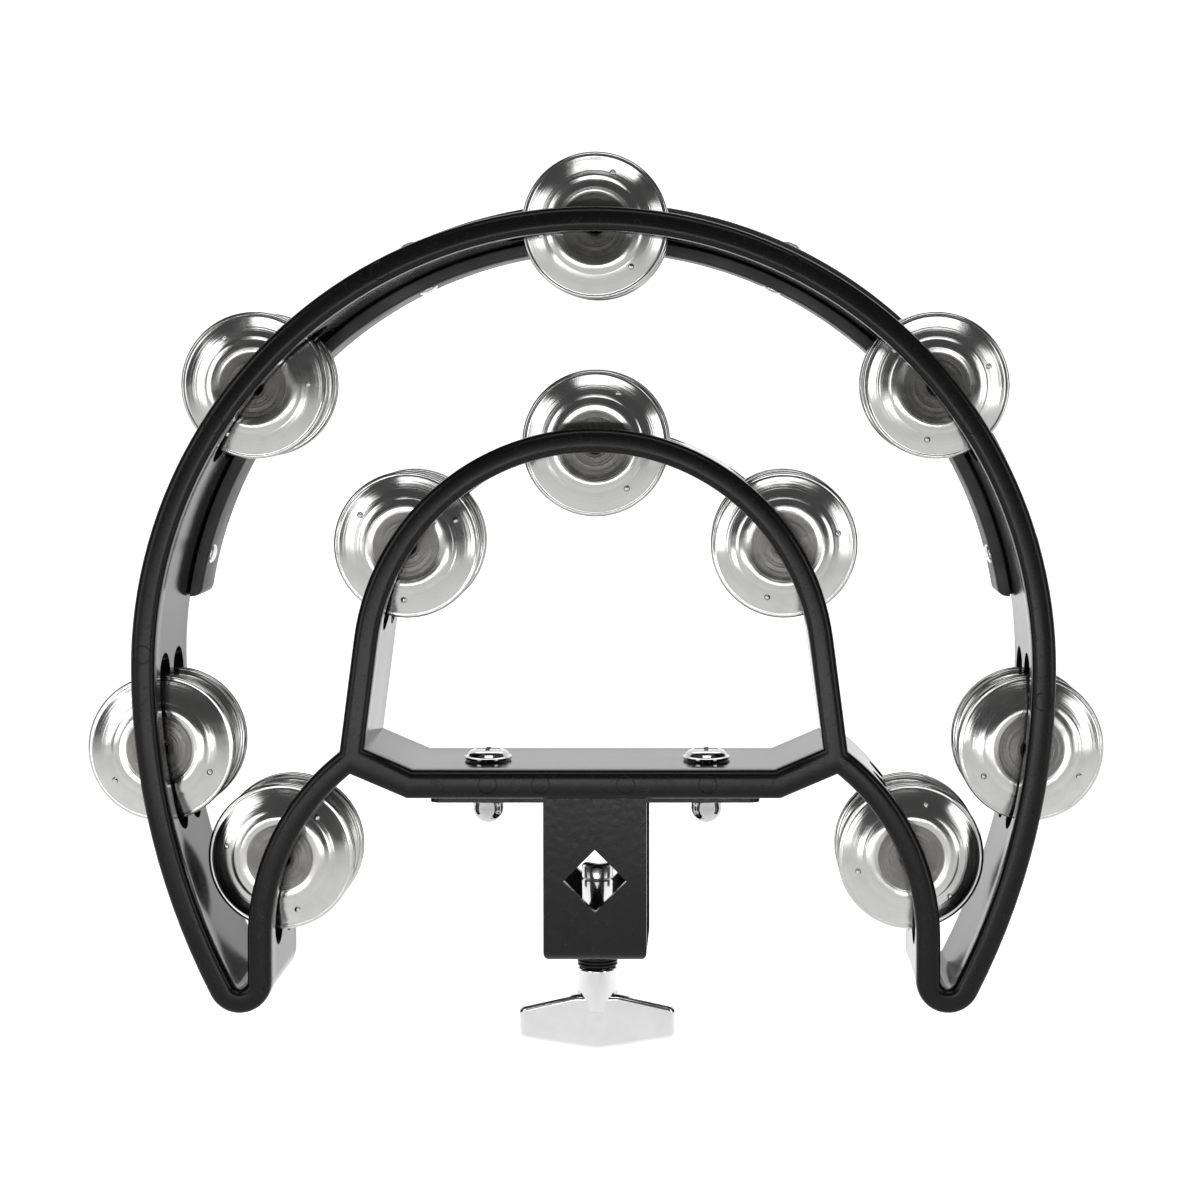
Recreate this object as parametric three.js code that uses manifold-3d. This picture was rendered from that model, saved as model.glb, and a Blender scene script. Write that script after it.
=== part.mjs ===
// A mountable crescent tambourine: a moulded horseshoe frame with two rows of jingle slots, a striking bar
// riveted along its rear rim, and a rod clamp bolted under its crossbar.
// Millimetres. +Z is up, +X to the right, and the front of the frame faces -Y.
// The origin is on the axis of the rod that the clamp holds, at the middle of the frame's depth.
import * as THREE from "three";
import { mergeVertices } from "three/addons/utils/BufferGeometryUtils.js";
import Module from "manifold-3d";

// ---- Driving dimensions ------------------------------------------------------------------------------

// Frame: a band that follows one closed line. Radii are those of the line in the middle of the band.
const ARC_CENTRE_HEIGHT = 62.3; // both big arcs share this centre, above the rod's axis
const OUTER_ARC_RADIUS = 129.5;
const HAND_ARCH_RADIUS = 66;
const HORN_ARC_RADIUS = 204.8; // the flatter arc that runs down into each horn
const HORN_TIP_RADIUS = 5.8;
const HORN_TIP_DROP = 90; // from the arcs' centre down to the centre of the horn's tip
const LEG_STRAIGHT = 12; // straight stretch of the inner leg above the horn's tip
const LEG_ARC_RADIUS = 65.2;
const LEG_ARC_TURN = 53.6; // degrees
const WALL_THICKNESS = 6.2;
const RIM_WIDTH = 7; // the thicker rims at the front and rear edges
const RIM_DEPTH = 4.6;
const ARC_STEPS = 30; // straight facets in the outer arc's half circle

// Crossbar: joins the two inner legs, drops at each end and is level in between.
const CROSSBAR_THICKNESS = 8.4;
const CROSSBAR_WALL = 7.2; // between its rims
const CROSSBAR_DROP = 7.4; // from the junction down to the level stretch
const CROSSBAR_LEVEL_LENGTH = 105.8;

// Jingle slots: two rows, with rounded ends.
const SLOT_WIDTH = 13.3;
const SLOT_END_ROOM = 4.5; // between a disc's edge and each end of its slot
const FRONT_MARGIN = 9.2; // frame depth in front of the first row
const ROW_WEB = 4; // wall left between the rows
const REAR_MARGIN = 6.2; // frame depth behind the second row
const OUTER_JINGLE_STEP = 50.2; // degrees between neighbours on the outer arc
const ARCH_JINGLE_STEP = 56.6; // degrees between neighbours on the hand arch
const LEG_JINGLE_TURN = 20.4; // degrees up the leg's arc

// Jingles: thin dished discs, in pairs that face each other on one pin.
const DISC_RADIUS = 21.5;
const DISC_SHEET = 0.7;
const DISC_RISE = 3.4; // from the rim to the flat hub
const DISC_HUB_RADIUS = 11;
const DISC_HOLE_RADIUS = 2.8;
const PAIR_GAP = 1; // between the two rims of a pair at rest
const PIN_RADIUS = 1.3;
const PIN_COVER = 2.6; // frame left in front of the pin
const PIN_REAR_SETBACK = 2.4;

// Striking bar: a channel pushed over the rear rim of the outer arc.
const BAR_WIDTH = 14.5;
const BAR_OVERLAP = 5.6; // how far it reaches over the rim
const BAR_PROJECTION = 12; // how far it stands behind the frame
const BAR_SPAN = 82; // degrees each side of the top
const BAR_CORNER = 3;
const RIVET_ANGLES = [-75.7, -25.5, 25.5, 75.7]; // degrees from the top
const RIVET_HEAD_RADIUS = 3.2;
const RIVET_HEAD_HEIGHT = 1.5;

// Rod clamp: a folded steel bracket with a diamond window through it, under the crossbar.
const BRACKET_WIDTH = 30;
const BRACKET_SETBACK = 2.4; // from each of the crossbar's rims to the bracket
const BRACKET_SHEET = 2.5;
const BRACKET_FLOOR_DROP = 23.5; // from the rod's axis down to the underside of the bracket
const BRACKET_END_ROOM = 5; // level crossbar left beyond each end of the bracket's plate
const WINDOW_HALF_DIAGONAL = 9.2;
const NUT_BOSS_RADIUS = 6;
const NUT_BOSS_HEIGHT = 4.9;

// Bolts that hold the bracket, with flanged cap nuts.
const BOLT_SPACING = 64.6;
const BOLT_SHANK_RADIUS = 3;
const BOLT_HEAD_RADIUS = 7;
const BOLT_HEAD_HEIGHT = 3;
const CAP_NUT_FLANGE_RADIUS = 6.5;
const CAP_NUT_FLANGE_HEIGHT = 1.6;
const CAP_NUT_RADIUS = 4.6;
const CAP_NUT_HEIGHT = 8.4;

// Clamp screw, its swivelling tip and its T-shaped handle.
const SCREW_RADIUS = 4.7;
const TIP_TOP = 2.3; // top of the tip above the rod's axis, with the screw right in
const TIP_HEIGHT = 4.3;
const SPIGOT_RADIUS = 2;
const SPIGOT_LENGTH = 2.4;
const HANDLE_NECK_RADIUS = 6.15;
const HANDLE_SPAN = 45.8;
const HANDLE_THICKNESS = 8;
const HANDLE_NECK_LENGTH = 8.5;
const HANDLE_WING_TIP_HEIGHT = 9.3;
const HANDLE_HEIGHT = 23.9; // whole handle, neck included
const HANDLE_GRIP = 3; // how far the screw reaches past the neck into the handle

// Clearances.
const TOUCH = 0.3; // left between pieces that rest on each other
const PIN_FIT = 0.3; // radial, pin to frame
const SHANK_FIT = 0.3; // radial, bolt or screw to its hole
const DISC_HANG = DISC_HOLE_RADIUS - PIN_RADIUS - 0.3; // a disc hangs from its pin by the edge of its hole

// Sizes that follow from the ones above.
const FRAME_DEPTH = FRONT_MARGIN + 2 * SLOT_WIDTH + ROW_WEB + REAR_MARGIN;
const FRONT = -FRAME_DEPTH / 2;
const REAR = FRAME_DEPTH / 2;
const SLOT_LENGTH = 2 * (DISC_RADIUS + SLOT_END_ROOM);
const BRACKET_DEPTH = FRAME_DEPTH - 2 * (RIM_DEPTH + BRACKET_SETBACK);
const BRACKET_PLATE_LENGTH = CROSSBAR_LEVEL_LENGTH - 2 * BRACKET_END_ROOM;

// ---- Geometry helpers --------------------------------------------------------------------------------

const wasm = await Module();
wasm.setup();

const radians = THREE.MathUtils.degToRad;

// A closed three.js geometry as a solid that can be joined and cut.
function solid(geometry) {
  const bare = geometry.index ? geometry.toNonIndexed() : geometry.clone();
  bare.deleteAttribute("normal");
  bare.deleteAttribute("uv");
  const merged = mergeVertices(bare, 1e-4);
  return new wasm.Manifold(
    new wasm.Mesh({
      numProp: 3,
      vertProperties: merged.attributes.position.array,
      triVerts: new Uint32Array(merged.index.array),
    }),
  );
}

// A solid as a three.js geometry, with the facets of each flat face merged first.
function geometryOf(manifold) {
  const mesh = manifold.asOriginal().getMesh();
  const geometry = new THREE.BufferGeometry();
  const positions = new THREE.BufferAttribute(new Float32Array(mesh.vertProperties), 3);
  geometry.setAttribute("position", positions);
  geometry.setIndex(new THREE.BufferAttribute(new Uint32Array(mesh.triVerts), 1));
  geometry.computeVertexNormals();
  return geometry;
}

// A flat outline drawn in X and Z, given thickness from y = front to y = rear.
function slab(shape, front, rear, curveSegments = 12) {
  const geometry = new THREE.ExtrudeGeometry(shape, {
    depth: rear - front,
    bevelEnabled: false,
    curveSegments,
  });
  geometry.rotateX(Math.PI / 2); // the outline's y becomes z, its depth runs towards -y
  geometry.translate(0, rear, 0);
  return geometry;
}

// A shape of revolution about an upright axis at x; the profile is [radius, height] pairs.
function turned(profile, segments, x = 0) {
  const points = profile.map(([radius, height]) => new THREE.Vector2(radius, height));
  const geometry = new THREE.LatheGeometry(points, segments);
  geometry.rotateX(Math.PI / 2);
  geometry.translate(x, 0, 0);
  return geometry;
}

// An upright round bar between two heights.
function post(radius, bottom, top, segments, x = 0) {
  return turned([[0, bottom], [radius, bottom], [radius, top], [0, top]], segments, x);
}

// A round bar along Y through (x, z).
function rodAlongDepth(radius, front, rear, x, z, segments = 8) {
  const geometry = new THREE.CylinderGeometry(radius, radius, rear - front, segments);
  geometry.translate(x, (front + rear) / 2, z);
  return geometry;
}

function box(width, depth, height, x, y, z) {
  const geometry = new THREE.BoxGeometry(width, depth, height);
  geometry.translate(x, y, z);
  return geometry;
}

// Points along an arc in the X-Z plane, angles in degrees from +X towards +Z, without the last point.
function arcPoints(centre, radius, from, to, steps) {
  return Array.from({ length: steps }, (_, i) => {
    const angle = radians(from + ((to - from) * i) / steps);
    return new THREE.Vector2(centre.x + radius * Math.cos(angle), centre.y + radius * Math.sin(angle));
  });
}

// A line moved sideways by a distance, with mitred corners. Positive distances go to its right.
function offsetLine(line, distance, closed) {
  const last = line.length - 1;
  return line.map((point, i) => {
    const before = line[i === 0 ? (closed ? last : 0) : i - 1];
    const after = line[i === last ? (closed ? 0 : last) : i + 1];
    const incoming = point.clone().sub(before).normalize();
    const outgoing = after.clone().sub(point).normalize();
    const along = incoming.clone().add(outgoing).normalize();
    const mitre = Math.max(along.dot(i === 0 && !closed ? outgoing : incoming), along.dot(outgoing));
    const right = new THREE.Vector2(along.y, -along.x);
    return point.clone().addScaledVector(right, distance / mitre);
  });
}

// ---- The frame's centre line -------------------------------------------------------------------------

const arcCentre = new THREE.Vector2(0, ARC_CENTRE_HEIGHT);

// The horn's tip sits where the horn arc touches it from inside.
const hornArcCentreX = HORN_ARC_RADIUS - OUTER_ARC_RADIUS;
const tipReach = HORN_ARC_RADIUS - HORN_TIP_RADIUS;
const hornTurn = THREE.MathUtils.radToDeg(Math.asin(HORN_TIP_DROP / tipReach));
const hornArcCentre = new THREE.Vector2(hornArcCentreX, ARC_CENTRE_HEIGHT);
const tipCentre = new THREE.Vector2(
  hornArcCentreX - tipReach * Math.cos(radians(hornTurn)),
  ARC_CENTRE_HEIGHT - HORN_TIP_DROP,
);
const legX = tipCentre.x + HORN_TIP_RADIUS;
const legArcCentre = new THREE.Vector2(legX + LEG_ARC_RADIUS, tipCentre.y + LEG_STRAIGHT);
const legEndAngle = 180 - LEG_ARC_TURN;
const junction = new THREE.Vector2(
  legArcCentre.x + LEG_ARC_RADIUS * Math.cos(radians(legEndAngle)),
  legArcCentre.y + LEG_ARC_RADIUS * Math.sin(radians(legEndAngle)),
);
// The arch's leg runs straight from the junction and touches the arch.
const toJunction = junction.clone().sub(arcCentre);
const archTouchAngle =
  THREE.MathUtils.radToDeg(Math.atan2(toJunction.y, toJunction.x)) +
  360 -
  THREE.MathUtils.radToDeg(Math.acos(HAND_ARCH_RADIUS / toJunction.length()));

function mirrored(line) {
  return line.map((point) => new THREE.Vector2(-point.x, point.y)).reverse();
}

// One closed line, anticlockwise from the right end of the outer arc.
function frameLine() {
  const leftSide = [
    ...arcPoints(hornArcCentre, HORN_ARC_RADIUS, 180, 180 + hornTurn, 5),
    ...arcPoints(tipCentre, HORN_TIP_RADIUS, 180 + hornTurn, 360, 7),
    ...arcPoints(tipCentre, HORN_TIP_RADIUS, 360, 360, 1),
    ...arcPoints(legArcCentre, LEG_ARC_RADIUS, 180, legEndAngle, 8),
    junction,
  ];
  const topArc = arcPoints(arcCentre, OUTER_ARC_RADIUS, 0, 180, ARC_STEPS).slice(1);
  const arch = [
    ...arcPoints(arcCentre, HAND_ARCH_RADIUS, archTouchAngle, 180 - archTouchAngle, 22),
    ...arcPoints(arcCentre, HAND_ARCH_RADIUS, 180 - archTouchAngle, 0, 1),
  ];
  return [...topArc, ...leftSide, ...arch, ...mirrored(leftSide)];
}

const crossbarZ = junction.y - CROSSBAR_DROP;
const crossbarWallTop = crossbarZ + CROSSBAR_WALL / 2;
const crossbarWallBottom = crossbarZ - CROSSBAR_WALL / 2;

function crossbarLine() {
  const half = CROSSBAR_LEVEL_LENGTH / 2;
  return [
    junction.clone(),
    new THREE.Vector2(-half, crossbarZ),
    new THREE.Vector2(half, crossbarZ),
    new THREE.Vector2(-junction.x, junction.y),
  ];
}

// A closed band of a given width about the frame's line.
function frameBand(width, front, rear) {
  const line = frameLine();
  const shape = new THREE.Shape(offsetLine(line, width / 2, true));
  shape.holes.push(new THREE.Path(offsetLine(line, -width / 2, true)));
  return solid(slab(shape, front, rear));
}

function crossbarBand(width, front, rear) {
  const line = crossbarLine();
  const below = offsetLine(line, width / 2, false);
  const above = offsetLine(line, -width / 2, false).reverse();
  return solid(slab(new THREE.Shape([...below, ...above]), front, rear));
}

// ---- Where the jingles sit ---------------------------------------------------------------------------

const ROW_PITCH = SLOT_WIDTH + ROW_WEB;
const ROWS = [
  { name: "front", centre: FRONT + FRONT_MARGIN + SLOT_WIDTH / 2 },
  { name: "rear", centre: FRONT + FRONT_MARGIN + SLOT_WIDTH / 2 + ROW_PITCH },
];

function stationOnArc(name, centre, radius, angle) {
  const turn = radians(angle);
  return {
    name,
    x: centre.x + radius * Math.cos(turn),
    z: centre.y + radius * Math.sin(turn),
    outward: turn,
  };
}

const stations = [
  stationOnArc("top", arcCentre, OUTER_ARC_RADIUS, 90),
  stationOnArc("upper_left", arcCentre, OUTER_ARC_RADIUS, 90 + OUTER_JINGLE_STEP),
  stationOnArc("upper_right", arcCentre, OUTER_ARC_RADIUS, 90 - OUTER_JINGLE_STEP),
  stationOnArc("side_left", arcCentre, OUTER_ARC_RADIUS, 90 + 2 * OUTER_JINGLE_STEP),
  stationOnArc("side_right", arcCentre, OUTER_ARC_RADIUS, 90 - 2 * OUTER_JINGLE_STEP),
  stationOnArc("arch_top", arcCentre, HAND_ARCH_RADIUS, 90),
  stationOnArc("arch_left", arcCentre, HAND_ARCH_RADIUS, 90 + ARCH_JINGLE_STEP),
  stationOnArc("arch_right", arcCentre, HAND_ARCH_RADIUS, 90 - ARCH_JINGLE_STEP),
  stationOnArc("leg_left", legArcCentre, LEG_ARC_RADIUS, 180 - LEG_JINGLE_TURN),
  stationOnArc(
    "leg_right",
    new THREE.Vector2(-legArcCentre.x, legArcCentre.y),
    LEG_ARC_RADIUS,
    LEG_JINGLE_TURN,
  ),
];

// A slot's cutter: a plate with round ends, as long as the slot and thick enough to pass the wall.
function slotCutter(station, rowCentre) {
  const half = SLOT_LENGTH / 2;
  const end = SLOT_WIDTH / 2;
  const outline = new THREE.Shape();
  outline.absarc(half - end, 0, end, -Math.PI / 2, Math.PI / 2, false);
  outline.absarc(end - half, 0, end, Math.PI / 2, (3 * Math.PI) / 2, false);
  const reach = OUTER_ARC_RADIUS / 4;
  const geometry = new THREE.ExtrudeGeometry(outline, {
    depth: reach,
    bevelEnabled: false,
    curveSegments: 4,
  });
  geometry.translate(0, 0, -reach / 2); // length runs along x, width along y, depth along z
  geometry.rotateY(Math.PI / 2 - station.outward); // depth now points outwards from the wall
  geometry.translate(station.x, rowCentre, station.z);
  return solid(geometry);
}

// ---- Pieces ------------------------------------------------------------------------------------------

const PIN_FRONT = FRONT + PIN_COVER;
const PIN_REAR = REAR - PIN_REAR_SETBACK;

function frame() {
  let body = frameBand(WALL_THICKNESS, FRONT, REAR)
    .add(frameBand(RIM_WIDTH, FRONT, FRONT + RIM_DEPTH))
    .add(frameBand(RIM_WIDTH, REAR - RIM_DEPTH, REAR))
    .add(crossbarBand(CROSSBAR_WALL, FRONT, REAR))
    .add(crossbarBand(CROSSBAR_THICKNESS, FRONT, FRONT + RIM_DEPTH))
    .add(crossbarBand(CROSSBAR_THICKNESS, REAR - RIM_DEPTH, REAR));
  for (const station of stations) {
    for (const row of ROWS) body = body.subtract(slotCutter(station, row.centre));
    const hole = rodAlongDepth(PIN_RADIUS + PIN_FIT, PIN_FRONT - TOUCH, REAR + 1, station.x, station.z);
    body = body.subtract(solid(hole));
  }
  for (const side of [-1, 1]) {
    const x = (side * BOLT_SPACING) / 2;
    const hole = post(BOLT_SHANK_RADIUS + SHANK_FIT, crossbarWallBottom - 1, crossbarWallTop + 1, 12, x);
    body = body.subtract(solid(hole));
  }
  return geometryOf(body);
}

// A curved bar about the outer arc's centre, with its corners cut off. Its facets match the frame's.
function arcBar(inner, outer, span, corner, front, rear) {
  const step = 180 / ARC_STEPS;
  const lowest = 90 - span;
  const at = (radius, angle) =>
    new THREE.Vector2(
      arcCentre.x + radius * Math.cos(radians(angle)),
      arcCentre.y + radius * Math.sin(radians(angle)),
    );
  const edge = (radius) => {
    const inset = THREE.MathUtils.radToDeg(corner / radius);
    const first = Math.ceil((lowest + inset) / step + 0.1);
    const between = Array.from({ length: ARC_STEPS - 2 * first + 1 }, (_, i) => at(radius, (first + i) * step));
    return [at(radius, lowest + inset), ...between, at(radius, 180 - lowest - inset)];
  };
  const ends = (angle) => [at(outer - corner, angle), at(inner + corner, angle)];
  const outline = [...edge(outer), ...ends(180 - lowest), ...edge(inner).reverse(), ...ends(lowest).reverse()];
  return solid(slab(new THREE.Shape(outline), front, rear));
}

// A rivet head on one face of the striking bar, turned to point outwards from the arc's centre.
function rivetHead(angle, radius, inwards) {
  const geometry = new THREE.CylinderGeometry(
    RIVET_HEAD_RADIUS * 0.7,
    RIVET_HEAD_RADIUS,
    RIVET_HEAD_HEIGHT + 1,
    8,
  );
  geometry.translate(0, RIVET_HEAD_HEIGHT / 2 - 0.5, 0);
  geometry.rotateX(Math.PI / 2); // the head now points up
  if (inwards) geometry.rotateX(Math.PI);
  geometry.translate(0, REAR - BAR_OVERLAP + RIVET_HEAD_RADIUS + 1, radius);
  geometry.rotateY(radians(angle));
  geometry.translate(arcCentre.x, 0, arcCentre.y);
  return solid(geometry);
}

function strikingBar() {
  const inner = OUTER_ARC_RADIUS - BAR_WIDTH / 2;
  const outer = OUTER_ARC_RADIUS + BAR_WIDTH / 2;
  const grooveHalf = RIM_WIDTH / 2 + TOUCH;
  const front = REAR - BAR_OVERLAP;
  let bar = arcBar(inner, outer, BAR_SPAN, BAR_CORNER, front, REAR + BAR_PROJECTION);
  const grooveInner = OUTER_ARC_RADIUS - grooveHalf;
  const grooveOuter = OUTER_ARC_RADIUS + grooveHalf;
  bar = bar.subtract(arcBar(grooveInner, grooveOuter, BAR_SPAN + 3, 0, front - 1, REAR + TOUCH));
  for (const angle of RIVET_ANGLES) {
    bar = bar.add(rivetHead(angle, inner, true)).add(rivetHead(angle, outer, false));
  }
  return geometryOf(bar);
}

// Half of a pair: facing -1 for the disc in front, with its hub towards -Y, and 1 for the one behind.
function jingleDisc(facing) {
  const rimStart = PAIR_GAP / 2;
  const hubStart = rimStart + DISC_RISE;
  const points = [
    [DISC_HOLE_RADIUS, hubStart],
    [DISC_HUB_RADIUS, hubStart],
    [DISC_RADIUS, rimStart],
    [DISC_RADIUS, rimStart + DISC_SHEET],
    [DISC_HUB_RADIUS + DISC_SHEET, hubStart + DISC_SHEET],
    [DISC_HOLE_RADIUS, hubStart + DISC_SHEET],
    [DISC_HOLE_RADIUS, hubStart],
  ];
  const profile = points.map(([radius, height]) => new THREE.Vector2(radius, height));
  const geometry = new THREE.LatheGeometry(profile, 16);
  if (facing < 0) geometry.rotateX(Math.PI);
  return geometry;
}

function bracket() {
  const top = crossbarWallBottom - TOUCH;
  const plateBottom = top - BRACKET_SHEET;
  const height = top + BRACKET_FLOOR_DROP;
  const middle = (top - BRACKET_FLOOR_DROP) / 2;
  const plate = box(BRACKET_PLATE_LENGTH, BRACKET_DEPTH, BRACKET_SHEET, 0, 0, top - BRACKET_SHEET / 2);
  const strap = box(BRACKET_WIDTH, BRACKET_DEPTH, height, 0, 0, middle);
  const insideDepth = BRACKET_DEPTH - 2 * BRACKET_SHEET;
  const insideBottom = BRACKET_SHEET - BRACKET_FLOOR_DROP;
  const insideHeight = plateBottom - insideBottom;
  const inside = box(BRACKET_WIDTH + 2, insideDepth, insideHeight, 0, 0, insideBottom + insideHeight / 2);
  const window = new THREE.Shape([
    new THREE.Vector2(WINDOW_HALF_DIAGONAL, 0),
    new THREE.Vector2(0, WINDOW_HALF_DIAGONAL),
    new THREE.Vector2(-WINDOW_HALF_DIAGONAL, 0),
    new THREE.Vector2(0, -WINDOW_HALF_DIAGONAL),
  ]);
  const bossBottom = -BRACKET_FLOOR_DROP - NUT_BOSS_HEIGHT;
  let body = solid(strap)
    .subtract(solid(inside))
    .add(solid(plate))
    .subtract(solid(slab(window, -BRACKET_DEPTH, BRACKET_DEPTH)))
    .add(solid(post(NUT_BOSS_RADIUS, bossBottom, insideBottom, 20)))
    .subtract(solid(post(SCREW_RADIUS + SHANK_FIT, bossBottom - 1, insideBottom + 1, 20)));
  for (const side of [-1, 1]) {
    const x = (side * BOLT_SPACING) / 2;
    body = body.subtract(solid(post(BOLT_SHANK_RADIUS + SHANK_FIT, plateBottom - 1, top + 1, 12, x)));
  }
  return geometryOf(body);
}

const nutTop = crossbarWallBottom - TOUCH - BRACKET_SHEET - TOUCH;
const shankBottom = nutTop - CAP_NUT_HEIGHT + 2.4;

function mountingBolt() {
  const base = crossbarWallTop + TOUCH;
  return turned(
    [
      [0, shankBottom],
      [BOLT_SHANK_RADIUS, shankBottom],
      [BOLT_SHANK_RADIUS, base],
      [BOLT_HEAD_RADIUS, base],
      [BOLT_HEAD_RADIUS, base + BOLT_HEAD_HEIGHT / 2],
      [BOLT_HEAD_RADIUS * 0.6, base + BOLT_HEAD_HEIGHT],
      [0, base + BOLT_HEAD_HEIGHT],
    ],
    12,
  );
}

function capNut() {
  const bore = BOLT_SHANK_RADIUS + SHANK_FIT;
  const flangeBottom = nutTop - CAP_NUT_FLANGE_HEIGHT;
  const bottom = nutTop - CAP_NUT_HEIGHT;
  return turned(
    [
      [0, shankBottom - TOUCH],
      [0, bottom],
      [CAP_NUT_RADIUS * 0.6, bottom + 0.6],
      [CAP_NUT_RADIUS, bottom + CAP_NUT_RADIUS / 2],
      [CAP_NUT_RADIUS, flangeBottom],
      [CAP_NUT_FLANGE_RADIUS, flangeBottom],
      [CAP_NUT_FLANGE_RADIUS, nutTop],
      [bore, nutTop],
      [bore, shankBottom - TOUCH],
      [0, shankBottom - TOUCH],
    ],
    12,
  );
}

const tipBottom = TIP_TOP - TIP_HEIGHT;
const handleTop = -BRACKET_FLOOR_DROP - NUT_BOSS_HEIGHT - TOUCH;
const handleBottom = handleTop - HANDLE_HEIGHT;
const screwBottom = handleTop - HANDLE_NECK_LENGTH - HANDLE_GRIP;

function screwTip() {
  const socket = SPIGOT_RADIUS + SHANK_FIT;
  const socketTop = tipBottom + SPIGOT_LENGTH;
  return turned(
    [
      [0, socketTop],
      [socket, socketTop],
      [socket, tipBottom],
      [SCREW_RADIUS, tipBottom],
      [SCREW_RADIUS, TIP_TOP - 0.8],
      [SCREW_RADIUS - 1, TIP_TOP],
      [0, TIP_TOP],
    ],
    20,
  );
}

function clampScrew() {
  const shoulder = tipBottom - TOUCH;
  const spigotTop = shoulder + SPIGOT_LENGTH;
  return turned(
    [
      [0, screwBottom],
      [SCREW_RADIUS, screwBottom],
      [SCREW_RADIUS, shoulder],
      [SPIGOT_RADIUS, shoulder],
      [SPIGOT_RADIUS, spigotTop],
      [0, spigotTop],
    ],
    20,
  );
}

// The handle: a round neck that spreads into two blunt wings.
function tHandle() {
  const half = HANDLE_SPAN / 2;
  const neckBottom = handleTop - HANDLE_NECK_LENGTH;
  const wingTipBottom = handleBottom + HANDLE_HEIGHT * 0.13;
  const wingTipTop = wingTipBottom + HANDLE_WING_TIP_HEIGHT;
  const wings = new THREE.Shape();
  wings.moveTo(0, handleBottom);
  wings.lineTo(half, wingTipBottom);
  wings.lineTo(half, wingTipTop);
  wings.quadraticCurveTo(half / 2, neckBottom - 1, HANDLE_NECK_RADIUS, neckBottom + 1);
  wings.lineTo(-HANDLE_NECK_RADIUS, neckBottom + 1);
  wings.quadraticCurveTo(-half / 2, neckBottom - 1, -half, wingTipTop);
  wings.lineTo(-half, wingTipBottom);
  const body = solid(slab(wings, -HANDLE_THICKNESS / 2, HANDLE_THICKNESS / 2, 5))
    .add(solid(post(HANDLE_NECK_RADIUS, screwBottom - 2.5, handleTop, 20)))
    .subtract(solid(post(SCREW_RADIUS + SHANK_FIT, screwBottom - TOUCH, handleTop + 1, 20)));
  return geometryOf(body);
}

// ---- Assembly ----------------------------------------------------------------------------------------

const finish = {
  plastic: { color: 0x1b1b1c, roughness: 0.38, metalness: 0 },
  rubber: { color: 0x141414, roughness: 0.7, metalness: 0 },
  steel: { color: 0xc4c4c2, roughness: 0.22, metalness: 1 },
  pinSteel: { color: 0xa9a9a7, roughness: 0.3, metalness: 1 },
  paint: { color: 0x0e0e0f, roughness: 0.15, metalness: 0 },
  chrome: { color: 0xe4e4e4, roughness: 0.08, metalness: 1 },
};

const group = new THREE.Group();

function place(name, geometry, look) {
  const mesh = new THREE.Mesh(geometry, new THREE.MeshStandardMaterial(look));
  mesh.name = name;
  group.add(mesh);
  return mesh;
}

place("frame", frame(), finish.plastic);
place("striking_bar", strikingBar(), finish.rubber);
place("clamp_bracket", bracket(), finish.paint);
for (const [side, sign] of [["left", -1], ["right", 1]]) {
  const x = (sign * BOLT_SPACING) / 2;
  place("mounting_bolt_" + side, mountingBolt(), finish.chrome).position.x = x;
  place("cap_nut_" + side, capNut(), finish.chrome).position.x = x;
}
place("screw_tip", screwTip(), finish.chrome);
place("clamp_screw", clampScrew(), finish.chrome);
place("t_handle", tHandle(), finish.chrome);

for (const station of stations) {
  const pin = rodAlongDepth(PIN_RADIUS, PIN_FRONT, PIN_REAR, station.x, station.z);
  place("pin_" + station.name, pin, finish.pinSteel);
  for (const row of ROWS) {
    for (const [side, facing] of [["a", -1], ["b", 1]]) {
      const name = "jingle_" + station.name + "_" + row.name + "_" + side;
      const disc = place(name, jingleDisc(facing), finish.steel);
      disc.position.set(station.x, row.centre, station.z - DISC_HANG);
    }
  }
}

export default group;
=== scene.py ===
"""Looks for a mountable crescent tambourine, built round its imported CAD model.

The frame, striking bar, jingles, pins, bracket, fasteners and clamp screw are remade at full detail in the
places that the CAD nodes give, and each rides on its own CAD body. Metres; +Z up; the front faces -Y.
"""

import logging
import math
from dataclasses import dataclass, field
from enum import Enum
from typing import Optional, Sequence, Union

import bmesh
import bpy
from mathutils import Matrix, Vector


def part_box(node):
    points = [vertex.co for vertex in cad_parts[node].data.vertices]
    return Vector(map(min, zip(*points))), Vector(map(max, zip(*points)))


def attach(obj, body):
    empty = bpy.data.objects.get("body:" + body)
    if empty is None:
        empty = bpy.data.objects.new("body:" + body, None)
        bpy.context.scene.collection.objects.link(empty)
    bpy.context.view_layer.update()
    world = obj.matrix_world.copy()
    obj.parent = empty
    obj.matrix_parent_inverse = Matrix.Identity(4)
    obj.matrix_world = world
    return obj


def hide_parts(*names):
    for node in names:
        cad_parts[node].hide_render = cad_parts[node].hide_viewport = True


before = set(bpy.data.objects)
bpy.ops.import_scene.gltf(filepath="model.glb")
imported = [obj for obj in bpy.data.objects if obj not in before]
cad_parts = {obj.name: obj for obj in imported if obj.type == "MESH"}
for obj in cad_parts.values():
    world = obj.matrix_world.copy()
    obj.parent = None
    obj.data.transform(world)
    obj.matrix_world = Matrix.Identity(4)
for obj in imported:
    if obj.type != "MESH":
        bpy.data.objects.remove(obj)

MM = 0.001
ROOT_BODY = "body"
TIP_BODY = "tip"
SCREW_BODY = "screw"
SPIN_MAP = "spin"  # a disc's UV map: radius and angle
INSIDE_MARK = "inside"  # a disc's face attribute: 1 on its inner face, which the steel paints in shade

log = logging.getLogger("tambourine")

Point = tuple[float, float]
Number = Union[int, float]


class Row(Enum):
    """The two rows of jingles, named as the CAD names them."""

    FRONT = "front"
    REAR = "rear"


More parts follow.
